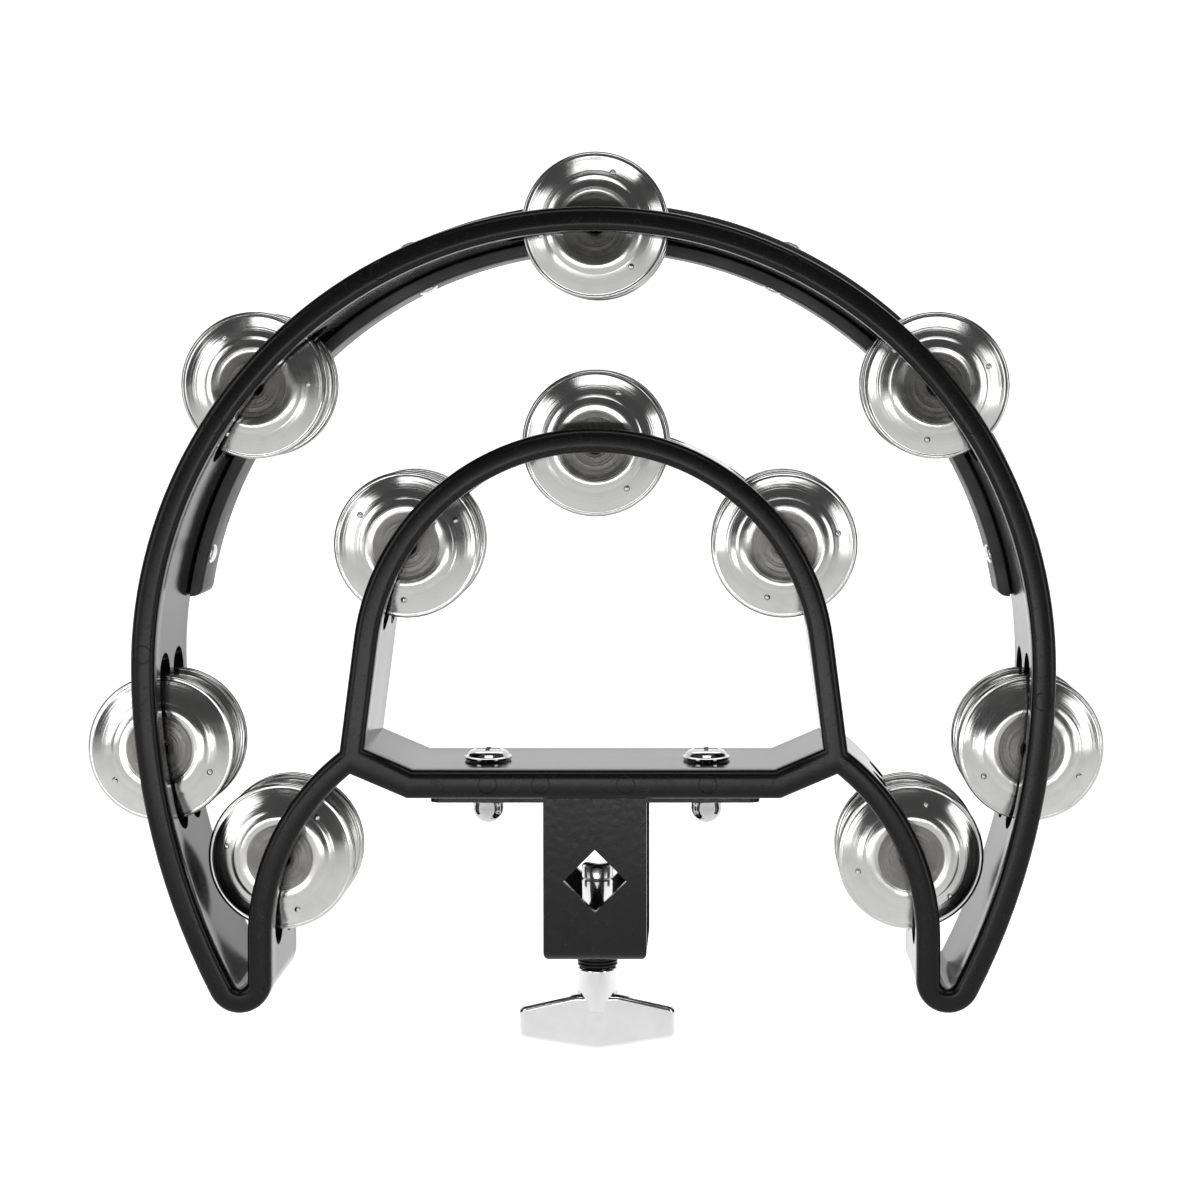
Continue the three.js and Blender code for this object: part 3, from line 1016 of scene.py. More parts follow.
    def crossbar(self) -> bpy.types.Mesh:
        """The crossbar: two short ramps and a level stretch between the inner legs.

        Returns:
            Its mesh.
        """
        half = self.crossbar_level / 2
        inset = 1.2 * MM
        line = [
            Vector((self.junction.x - inset, self.junction.y + inset / 3)),
            Vector((-half, self.crossbar_z)),
            Vector((half, self.crossbar_z)),
            Vector((-self.junction.x + inset, self.junction.y + inset / 3)),
        ]
        return swept("crossbar", line, self.section(self.crossbar_wall, self.crossbar_rim), False)

    def row_centre(self, row: Row) -> float:
        """The Y of a row's middle, between the two discs of a pair."""
        return (node_box(f"jingle_top_{row.value}_a")[1].y + node_box(f"jingle_top_{row.value}_b")[0].y) / 2

    def slot_cutters(self, stations: Sequence[str]) -> bpy.types.Mesh:
        """Plates with round ends that pass through the wall at some stations.

        Args:
            stations: the stations' names.

        Returns:
            One mesh for them all.
        """
        half, end, reach, steps = self.slot_length / 2, self.slot_width / 2, 10.5 * MM, 14
        outline = []
        for sign in (1, -1):
            for i in range(steps + 1):
                angle = -math.pi / 2 + math.pi * i / steps
                outline.append((sign * (half - end + end * math.cos(angle)), sign * end * math.sin(angle)))
        cutters = []
        for station in stations:
            pin = node_centre(f"pin_{station}")
            turn = Matrix.Rotation(math.pi / 2 - math.radians(self.stations[station]), 4, "Y")
            for row in Row:
                sections = [[(x, y, z) for x, y in outline] for z in (-reach, reach)]
                plate = lofted("slot", sections, False)
                plate.transform(Matrix.Translation((pin.x, self.row_centre(row), pin.z)) @ turn)
                cutters.append(plate)
        return joined("slots", cutters)

    def bolt_holes(self) -> bpy.types.Mesh:
        """Drills for the two bolts.

        Returns:
            One mesh for both.
        """
        drills = []
        for side in ("left", "right"):
            x = node_centre(f"mounting_bolt_{side}").x
            low, high = self.crossbar_z - self.crossbar_rim, self.crossbar_z + self.crossbar_rim
            profile = [(0, low), (self.bolt_hole, low), (self.bolt_hole, high), (0, high)]
            drills.append(turned("drill", profile, 24, Matrix.Translation((x, 0, 0))))
        return joined("drills", drills)

    def marks(self, finish: bpy.types.Material) -> bpy.types.Mesh:
        """Faint rings left by the mould's ejector pins, on the crossbar and the band.

        Args:
            finish: the frame's material.

        Returns:
            The rings' mesh.
        """
        tree = GrowthTree(
            "ejector_marks", {"Radius": ("NodeSocketFloat", 0.003), "Wire": ("NodeSocketFloat", 0.0001)}
        )
        ring = tree.node(
            "GeometryNodeCurvePrimitiveCircle", None, {"Resolution": 32, "Radius": tree.given("Radius")}
        )
        wire = tree.node(
            "GeometryNodeCurvePrimitiveCircle", None, {"Resolution": 6, "Radius": tree.given("Wire")}
        )
        loop = tree.node("GeometryNodeCurveToMesh", None, {"Curve": ring, "Profile Curve": wire})
        copies = tree.node(
            "GeometryNodeInstanceOnPoints",
            None,
            {"Points": tree.given("Geometry"), "Instance": loop, "Rotation": (math.pi / 2, 0.0, 0.0)},
        )
        tree.close(copies)
        y = self.front + 0.03 * MM
        spots = [(x * MM, y, self.crossbar_z) for x in (-30.5, -15.2, 9.2, 32.8)]
        for angle in (-4.0, 33.0, 64.0, 118.0, 147.0, 178.0):
            spot = arc_points(self.arc_centre, self.outer_radius, angle, angle, 1)[0]
            spots.append((spot.x, y, spot.y))
        host = bpy.data.meshes.new("mark_spots")
        host.from_pydata(spots, [], [])
        sizes = {"Radius": self.mark_radius, "Wire": self.mark_wire}
        return tree.grow("frame_marks", host, sizes, finish)

    def build(self, finish: bpy.types.Material) -> None:
        """Builds and dresses the frame.

        Args:
            finish: its material.
        """
        band = swept("frame_band", self.line(), self.section(self.wall, self.rim), True)
        band = combined(band, self.crossbar(), "UNION")
        names = list(self.stations)
        band = combined(band, self.slot_cutters(names[:5]), "DIFFERENCE")
        band = combined(band, self.slot_cutters(names[5:]), "DIFFERENCE")
        band = combined(band, self.bolt_holes(), "DIFFERENCE")
        band.name = "frame_moulding"
        piece(softened(band, 0.35 * MM, 2, 42.0), finish, ROOT_BODY, ["frame"])
        piece(self.marks(finish), None, ROOT_BODY)


# ---- Striking bar ----------------------------------------------------------------------------------------


@dataclass
class StrikingBar:
    """The channel pushed over the rear rim, with its rivets."""

    shell: MouldedFrame
    span: float = 82.0  # degrees to each side of the top
    half_width: float = 7.25 * MM
    groove: float = 3.8 * MM
    corner: float = 3.0 * MM
    edge: float = 1.1 * MM
    rivet_radius: float = 3.0 * MM
    rivet_rise: float = 1.3 * MM
    rivet_reach: float = 75.7  # degrees to each side of the top

    def section(self, half: float) -> list[Point]:
        """The channel's section, with rounded outer edges.

        Args:
            half: half its width here.

        Returns:
            (radial offset, y) pairs.
        """
        low, high = node_box("striking_bar")
        floor = self.shell.rear + 0.3 * MM
        r = min(self.edge, half - self.groove - 0.1 * MM)
        made = []
        corners = [
            (half - r, low.y + r, -90, 0),
            (half - self.edge, high.y - self.edge, 0, 90),
            (-half + self.edge, high.y - self.edge, 90, 180),
            (-half + r, low.y + r, 180, 270),
        ]
        for x, y, start, end in corners:
            size = r if y < floor else self.edge
            for i in range(5):
                angle = math.radians(start + (end - start) * i / 4)
                made.append((x + size * math.cos(angle), y + size * math.sin(angle)))
        groove = self.groove
        return [*made, (-groove, low.y), (-groove, floor), (groove, floor), (groove, low.y)]

    def channel(self) -> bpy.types.Mesh:
        """The bar's mesh.

        Returns:
            The mesh.
        """
        radius = self.shell.outer_radius
        whole = math.radians(self.span)
        round_angle = self.corner / radius
        ends = [whole - round_angle + round_angle * math.sin(math.pi / 2 * i / 6) for i in range(7)]
        inner = [(-1 + 2 * i / 96) * (whole - round_angle) for i in range(97)]
        turns = [*[-a for a in reversed(ends[1:])], *inner, *ends[1:]]
        sections = []
        for turn in turns:
            past = max(0.0, abs(turn) - (whole - round_angle)) * radius
            inset = self.corner - math.sqrt(max(0.0, self.corner**2 - past**2))
            half = max(self.half_width - inset, self.groove + 0.35 * MM)
            ring = []
            for offset, y in self.section(half):
                reach = radius + offset
                ring.append(
                    (
                        self.shell.arc_centre.x + reach * math.sin(turn),
                        y,
                        self.shell.arc_centre.y + reach * math.cos(turn),
                    )
                )
            sections.append(ring)
        return lofted("striking_channel", sections, False)

    def rivets(self, finish: bpy.types.Material) -> bpy.types.Mesh:
        """Domed rivet heads, on the inside and the outside of the bar.

        Args:
            finish: their material.

        Returns:
            The heads' mesh.
        """
        number, whole = "NodeSocketFloat", "NodeSocketInt"
        tree = GrowthTree(
            "rivet_heads",
            {
                "Count": (whole, 4),
                "First": (number, 0.0),
                "Step": (number, 0.1),
                "Inner": (number, 0.1),
                "Outer": (number, 0.1),
                "Head": (number, 0.003),
                "Rise": (number, 0.4),
            },
        )
        dome = tree.node(
            "GeometryNodeMeshUVSphere", None, {"Segments": 20, "Rings": 12, "Radius": tree.given("Head")}
        )
        flat = tree.node("ShaderNodeCombineXYZ", None, {0: 1.0, 1: 1.0, 2: tree.given("Rise")})
        heads = []
        for reach in ("Inner", "Outer"):
            lift = tree.node("ShaderNodeCombineXYZ", None, {2: tree.given(reach)})
            heads.append(
                tree.node(
                    "GeometryNodeTransform", None, {"Geometry": dome, "Translation": lift, "Scale": flat}
                )
            )
        pair = tree.node("GeometryNodeJoinGeometry", None, {0: heads})
        spots = tree.node(
            "GeometryNodeMeshLine", None, {"Count": tree.given("Count"), "Offset": (0.0, 0.0, 0.0)}
        )
        index = tree.node("GeometryNodeInputIndex")
        turn = tree.node(
            "ShaderNodeCombineXYZ", None, {1: index * tree.given("Step") + tree.given("First")}
        )
        copies = tree.node(
            "GeometryNodeInstanceOnPoints", None, {"Points": spots, "Instance": pair, "Rotation": turn}
        )
        tree.close(copies)
        reach = math.radians(self.rivet_reach)
        grown = tree.grow(
            "rivet_heads",
            bpy.data.meshes.new("rivet_host"),
            {
                "Count": 4,
                "First": -reach,
                "Step": 2 * reach / 3,
                "Inner": self.shell.outer_radius - self.half_width,
                "Outer": self.shell.outer_radius + self.half_width,
                "Head": self.rivet_radius,
                "Rise": self.rivet_rise / self.rivet_radius,
            },
            finish,
        )
        low, _ = node_box("striking_bar")
        grown.transform(Matrix.Translation((0, low.y + 4.2 * MM, self.shell.arc_centre.y)))
        return grown

    def build(self, rubber: bpy.types.Material, metal: bpy.types.Material) -> None:
        """Builds and dresses the bar and its rivets.

        Args:
            rubber: the bar's material.
            metal: the rivets' material.
        """
        piece(smoothed(self.channel(), 50.0), rubber, ROOT_BODY, ["striking_bar"])
        piece(self.rivets(metal), None, ROOT_BODY)


# ---- Jingles and pins ------------------------------------------------------------------------------------


@dataclass
class JingleSet:
    """Every jingle: one pressed disc, copied to each place with its own turn."""

    shell: MouldedFrame
    segments: int = 80
    sheet: float = 0.5 * MM
    pip_ring: float = 16.0 * MM
    pip_size: float = 0.95 * MM
    map_radius: float = 25.0 * MM
    turns: dict[str, float] = field(
        default_factory=lambda: {
            "top": 71.0,
            "upper_left": 1.0,
            "upper_right": 20.0,
            "side_left": 95.0,
            "side_right": 90.0,
            "arch_top": 65.0,
            "arch_left": 27.0,
            "arch_right": 12.0,
            "leg_left": 48.0,
            "leg_right": 75.0,
        }
    )

    def outer_skin(self) -> list[Point]:
        """The pressed face: (radius, height above the pair's middle)."""
        millimetres = [
            (2.75, 3.74),
            (3.1, 3.9),
            (4.2, 3.94),
            (7.0, 3.96),
            (9.2, 3.98),
            (10.0, 4.04),
            (10.8, 4.12),
            (11.6, 4.14),
            (12.4, 4.06),
            (13.1, 3.9),
            (13.7, 3.7),
            (14.1, 3.56),
            (14.4, 3.48),
            (14.9, 3.38),
            (15.8, 3.16),
            (16.9, 2.84),
            (18.1, 2.42),
            (19.2, 1.98),
            (20.0, 1.64),
            (20.4, 1.56),
            (20.75, 1.58),
            (21.1, 1.48),
            (21.4, 1.2),
            (21.5, 0.9),
            (21.42, 0.66),
            (21.2, 0.53),
        ]
        return [(radius * MM, height * MM) for radius, height in millimetres]

    def profile(self) -> list[Point]:
        """The whole section: the pressed face, the rolled rim and the inner face.

        Returns:
            (radius, height) pairs in metres, closed.
        """
        outer = self.outer_skin()
        lip = 0.62 * MM
        inner = [(r, max(h - self.sheet, lip)) for r, h in reversed(outer[1:21])]
        rounded = []
        whole = [*outer, (20.9 * MM, 0.55 * MM), *inner, (2.75 * MM, 3.42 * MM)]
        for i in range(len(whole)):
            a, b = whole[i - 1], whole[i]
            c, d = whole[(i + 1) % len(whole)], whole[(i + 2) % len(whole)]
            for t in (0.0, 0.5):
                rounded.append(tuple(_spline(a[k], b[k], c[k], d[k], t) for k in range(2)))
        return rounded

    def master(self, finish: bpy.types.Material) -> bpy.types.Mesh:
        """One disc about Z with its hub towards +Z, its map and its pips.

        Args:
            finish: its material.

        Returns:
            The mesh.
        """
        profile = self.profile()
        points, faces = [], []
        for radius, height in profile:
            for i in range(self.segments):
                angle = math.tau * i / self.segments
                points.append((radius * math.cos(angle), radius * math.sin(angle), height))
        rings = len(profile)
        for i in range(rings):
            for j in range(self.segments):
                k = (j + 1) % self.segments
                here, there = i * self.segments, ((i + 1) % rings) * self.segments
                faces.append((here + j, here + k, there + k, there + j))
        disc = mesh_of("disc", points, faces)
        tree = GrowthTree(
            "disc_pips",
            {
                "Count": ("NodeSocketInt", 3),
                "Ring": ("NodeSocketFloat", 0.016),
                "Size": ("NodeSocketFloat", 0.001),
                "Height": ("NodeSocketFloat", 0.003),
            },
        )
        spots = tree.node(
            "GeometryNodeMeshCircle", None, {"Vertices": tree.given("Count"), "Radius": tree.given("Ring")}
        )
        lift = tree.node("ShaderNodeCombineXYZ", None, {2: tree.given("Height")})
        raised = tree.node("GeometryNodeTransform", None, {"Geometry": spots, "Translation": lift})
        pip = tree.node(
            "GeometryNodeMeshUVSphere", None, {"Segments": 14, "Rings": 8, "Radius": tree.given("Size")}
        )
        copies = tree.node(
            "GeometryNodeInstanceOnPoints",
            None,
            {"Points": raised, "Instance": pip, "Scale": (1.0, 1.0, 0.62)},
        )
        both = tree.node("GeometryNodeJoinGeometry", None, {0: [tree.given("Geometry"), copies]})
        tree.close(both)
        sizes = {"Count": 3, "Ring": self.pip_ring, "Size": self.pip_size, "Height": 3.0 * MM}
        whole = tree.grow("jingle_master", disc, sizes, finish)
        self.spin_map(whole)
        whole.set_sharp_from_angle(angle=math.radians(60))
        return whole

    def spin_map(self, mesh: bpy.types.Mesh) -> None:
        """Gives a disc about Z its map, radius across and angle up, and marks its inner faces.

        Args:
            mesh: the disc.
        """
        for old in list(mesh.uv_layers):
            mesh.uv_layers.remove(old)
        layer = mesh.uv_layers.new(name=SPIN_MAP)
        inside = mesh.attributes.new(INSIDE_MARK, "FLOAT", "FACE")
        for polygon in mesh.polygons:
            inside.data[polygon.index].value = 1.0 if polygon.normal.z < -0.3 else 0.0
            middle = math.atan2(polygon.center.y, polygon.center.x) / math.tau
            for loop in polygon.loop_indices:
                at = mesh.vertices[mesh.loops[loop].vertex_index].co
                turn = math.atan2(at.y, at.x) / math.tau
                turn += round(middle - turn)
                layer.data[loop].uv = (math.hypot(at.x, at.y) / self.map_radius, turn)

    def build(self, finish: bpy.types.Material, shaded: bpy.types.Material) -> None:
        """Builds all the jingles.

        Args:
            finish: their material.
            shaded: a copy of the steel painted near black, as painted shade on the discs that sit between
                the two rows.
        """
        master = self.master(finish)
        for count, station in enumerate(self.shell.stations):
            for row in Row:
                for half in Half:
                    node = f"jingle_{station}_{row.value}_{half.name.lower()}"
                    centre = node_centre(node)
                    drift = 0.0 if (row, half) == (Row.FRONT, Half.A) else 37.0 * (1 + count % 5)
                    spin = math.radians(self.turns[station] + drift + (19.0 if half is Half.B else 0.0))
                    # the hub points along -Y after a quarter turn about X, or along +Y after the other
                    tip_over = Matrix.Rotation(-half.value * math.pi / 2, 4, "X")
                    mesh = master.copy()
                    # the rear row's front discs sit in the front row's shade, which their steel paints in
                    if (row, half) == (Row.REAR, Half.A):
                        mesh.materials[0] = shaded
                    mesh.name = f"disc_{station}_{row.value}_{half.name.lower()}"
                    middle = Vector((centre.x, self.shell.row_centre(row), centre.z))
                    mesh.transform(Matrix.Translation(middle) @ tip_over @ Matrix.Rotation(spin, 4, "Z"))
                    piece(mesh, None, f"{node}_disc", [node])


def _spline(a: float, b: float, c: float, d: float, t: float) -> float:
    """A Catmull-Rom value between b and c."""
    return 0.5 * (
        2 * b + (c - a) * t + (2 * a - 5 * b + 4 * c - d) * t**2 + (3 * b - a - 3 * c + d) * t**3
    )


@dataclass
class JinglePins:
    """The plain pins that the jingles hang on."""

    shell: MouldedFrame
    rounding: float = 0.35 * MM

    def build(self, finish: bpy.types.Material) -> None:
        """Builds the pins.

        Args:
            finish: their material.
        """
        for station in self.shell.stations:
            node = f"pin_{station}"
            low, high = node_box(node)
            radius = (high.z - low.z) / 2
            length = high.y - low.y
            r = self.rounding
            profile = [
                (0, 0),
                (radius - r, 0),
                (radius - 0.3 * r, 0.3 * r),
                (radius, r),
                (radius, length - r),
                (radius - 0.3 * r, length - 0.3 * r),
                (radius - r, length),
                (0, length),
            ]
            middle = node_centre(node)
            place = Matrix.Translation((middle.x, low.y, middle.z)) @ Matrix.Rotation(-math.pi / 2, 4, "X")
            mesh = smoothed(turned(f"wire_{station}", profile, 24, place), 50.0)
            piece(mesh, finish, ROOT_BODY, [node])


# ---- Clamp -----------------------------------------------------------------------------------------------


@dataclass
class ClampBracket:
    """The folded bracket under the crossbar, with its diamond window and threaded boss."""

    width: float = 30.0 * MM
    sheet: float = 2.5 * MM
    bend: float = 3.4 * MM
    corner: float = 2.4 * MM
    plate_corner: float = 3.0 * MM
    floor: float = -23.5 * MM
    window: float = 9.2 * MM
    boss_radius: float = 6.0 * MM
    ridges: int = 3
    ridge_pitch: float = 0.95 * MM
    bore: float = 5.0 * MM
    hole: float = 3.3 * MM

    def strap(self) -> bpy.types.Mesh:
        """The folded strap: front wall, rounded bends, floor and rear wall.

        Returns:
            The mesh.
        """
        low, high = node_box("clamp_bracket")
        top = high.z - self.sheet / 2
        half = (high.y - low.y) / 2
        bend, thin = self.bend, self.sheet
        outline = []
        for sign, start in ((1, 0), (-1, 90)):
            for i in range(9):
                angle = math.radians(start + 90 * i / 8)
                y = sign * (half - bend) + bend * math.cos(angle)
                outline.append((y, self.floor + bend - bend * math.sin(angle)))
        outline = [(half, top), *outline, (-half, top)]
        inner_bend = bend - thin
        outline.append((-half + thin, top))
        for sign, start in ((-1, 180), (1, 90)):
            for i in range(5):
                angle = math.radians(start - 90 * i / 4)
                y = sign * (half - bend) + inner_bend * math.cos(angle)
                outline.append((y, self.floor + bend - inner_bend * math.sin(angle)))
        outline.append((half - thin, top))
        sections = [[(x, y, z) for y, z in outline] for x in (-self.width / 2, self.width / 2)]
        return combined(lofted("strap", sections, False), self.front_outline(half), "INTERSECT")

    def front_outline(self, half: float) -> bpy.types.Mesh:
        """The strap's outline from the front, with its two lower corners rounded off.

        Args:
            half: half the strap's depth.

        Returns:
            A block with that outline.
        """
        wide, r, steps = self.width / 2, self.corner, 6
        outline = [(wide, self.width), (-wide, self.width)]
        for sign, start in ((-1, 180), (1, 270)):
            for i in range(steps + 1):
                angle = math.radians(start + 90 * i / steps)
                x = sign * (wide - r) + r * math.cos(angle)
                outline.append((x, self.floor + r + r * math.sin(angle)))
        reach = half + MM
        return lofted("outline", [[(x, y, z) for x, z in outline] for y in (-reach, reach)], False)

    def plate(self) -> bpy.types.Mesh:
        """The plate that the bolts pass through.

        Returns:
            The mesh.
        """
        high = node_box("clamp_bracket")[1]
        corner, steps = self.plate_corner, 6
        outline = []
        for k, (sx, sy) in enumerate(((1, 1), (-1, 1), (-1, -1), (1, -1))):
            for i in range(steps + 1):
                angle = math.radians(90 * k + 90 * i / steps)
                x = sx * (high.x - corner) + corner * math.cos(angle)
                y = sy * (high.y - corner) + corner * math.sin(angle)
                outline.append((x, y))
        sections = [[(x, y, z) for x, y in outline] for z in (high.z - self.sheet, high.z)]
        return lofted("plate", sections, False)

    def cutters(self) -> bpy.types.Mesh:
        """The window, the bolt holes and the screw's hole.

        Returns:
            One mesh for them all.
        """
        low, high = node_box("clamp_bracket")
        w, y = self.window, high.y + 2 * MM
        corners = [(w, 0), (0, w), (-w, 0), (0, -w)]
        made = [lofted("window", [[(x, side * y, z) for x, z in corners] for side in (-1, 1)], False)]
        for side in ("left", "right"):
            x = node_centre(f"mounting_bolt_{side}").x
            bottom, top = high.z - self.sheet - MM, high.z + MM
            profile = [(0, bottom), (self.hole, bottom), (self.hole, top), (0, top)]
            made.append(turned("hole", profile, 28, Matrix.Translation((x, 0, 0))))
        bottom, top = low.z - MM, self.floor + self.sheet + MM
        profile = [(0, bottom), (self.bore, bottom), (self.bore, top), (0, top)]
        made.append(turned("bore", profile, 40, Matrix()))
        return joined("cuts", made)

    def boss(self) -> bpy.types.Mesh:
        """The boss under the floor, with the thread's last turns showing as ridges.

        Returns:
            The mesh.
        """
        low, _ = node_box("clamp_bracket")
        top = self.floor + self.sheet / 2
        r = self.boss_radius
        outer = [(r - 0.5 * MM, low.z), (r, low.z + 0.5 * MM)]
        for i in range(self.ridges):
            z = low.z + 0.9 * MM + self.ridge_pitch * i
            outer += [(r, z), (r - 0.4 * MM, z + 0.3 * MM), (r, z + 0.6 * MM)]
        outer += [(r, self.floor - 0.6 * MM), (r + 0.7 * MM, self.floor - 0.02 * MM), (r, top)]
        profile = [(0, low.z), *outer, (0, top)]
        return turned("boss", profile, 48, Matrix())

    def build(self, finish: bpy.types.Material) -> None:
        """Builds and dresses the bracket.

        Args:
            finish: its material.
        """
        body = combined(self.strap(), self.plate(), "UNION")
        body = combined(body, self.boss(), "UNION")
        body = combined(body, self.cutters(), "DIFFERENCE")
        body.name = "bracket_folded"
        piece(softened(body, 0.45 * MM, 3, 40.0), finish, ROOT_BODY, ["clamp_bracket"])


@dataclass
class Fasteners:
    """The two mounting bolts and their cap nuts."""

    head_radius: float = 7.0 * MM
    head_height: float = 3.0 * MM
    shank_radius: float = 3.0 * MM
    recess_arm: float = 3.6 * MM
    recess_half: float = 0.65 * MM
    recess_depth: float = 1.5 * MM
    flange_radius: float = 6.5 * MM
    dome_radius: float = 4.6 * MM

    def bolt(self, side: str) -> bpy.types.Mesh:
        """One bolt: shank, dished washer face and crowned head with a cross recess.

        Args:
            side: "left" or "right".

        Returns:
            The mesh.
        """
        low, high = node_box(f"mounting_bolt_{side}")
        x = node_centre(f"mounting_bolt_{side}").x
        r, base = self.head_radius, high.z - self.head_height
        profile = [
            (0, low.z),
            (self.shank_radius - 0.5 * MM, low.z),
            (self.shank_radius, low.z + 0.5 * MM),
            (self.shank_radius, base),
            (r - 0.25 * MM, base),
            (r, base + 0.3 * MM),
            (r, base + 0.75 * MM),
            (r - 0.45 * MM, base + 1.0 * MM),
            (r - 0.75 * MM, base + 1.05 * MM),
            (r - 0.85 * MM, base + 1.2 * MM),
            (r - 1.0 * MM, base + 1.75 * MM),
            (r - 1.6 * MM, base + 2.3 * MM),
            (r - 2.6 * MM, base + 2.7 * MM),
            (r - 4.2 * MM, base + 2.93 * MM),
            (0, high.z),
        ]
        head = turned(f"bolt_{side}", profile, 56, Matrix.Translation((x, 0, 0)))
        levels = (high.z - self.recess_depth, high.z + MM)
        for along, across in ((self.recess_arm, self.recess_half), (self.recess_half, self.recess_arm)):
            corners = [(along, across), (-along, across), (-along, -across), (along, -across)]
            arm = lofted("arm", [[(x + cx, cy, z) for cx, cy in corners] for z in levels], False)
            head = combined(head, arm, "DIFFERENCE")
        head.name = f"bolt_{side}"
        return smoothed(head, 36.0)

    def nut(self, side: str) -> bpy.types.Mesh:
        """One flanged cap nut, domed at the bottom.

        Args:
            side: "left" or "right".

        Returns:
            The mesh.
        """
        low, high = node_box(f"cap_nut_{side}")
        x = node_centre(f"cap_nut_{side}").x
        r, top = self.dome_radius, high.z
        bore = self.shank_radius + 0.3 * MM
        dome = []
        for i in range(10):
            angle = math.pi / 2 * i / 9
            dome.append((r * math.sin(angle), low.z + r * (1 - math.cos(angle))))
        profile = [
            *dome,
            (r, top - 2.1 * MM),
            (r + 0.25 * MM, top - 1.75 * MM),
            (self.flange_radius - 0.4 * MM, top - 1.3 * MM),
            (self.flange_radius, top - 0.95 * MM),
            (self.flange_radius, top - 0.25 * MM),
            (self.flange_radius - 0.3 * MM, top),
            (bore, top),
            (bore, top - 5.6 * MM),
            (0, top - 6.2 * MM),
        ]
        return smoothed(turned(f"nut_{side}", profile, 48, Matrix.Translation((x, 0, 0))), 44.0)

    def build(self, finish: bpy.types.Material) -> None:
        """Builds and dresses the fasteners.

        Args:
            finish: their material.
        """
        for side in ("left", "right"):
            piece(self.bolt(side), finish, ROOT_BODY, [f"mounting_bolt_{side}"])
            piece(self.nut(side), finish, ROOT_BODY, [f"cap_nut_{side}"])


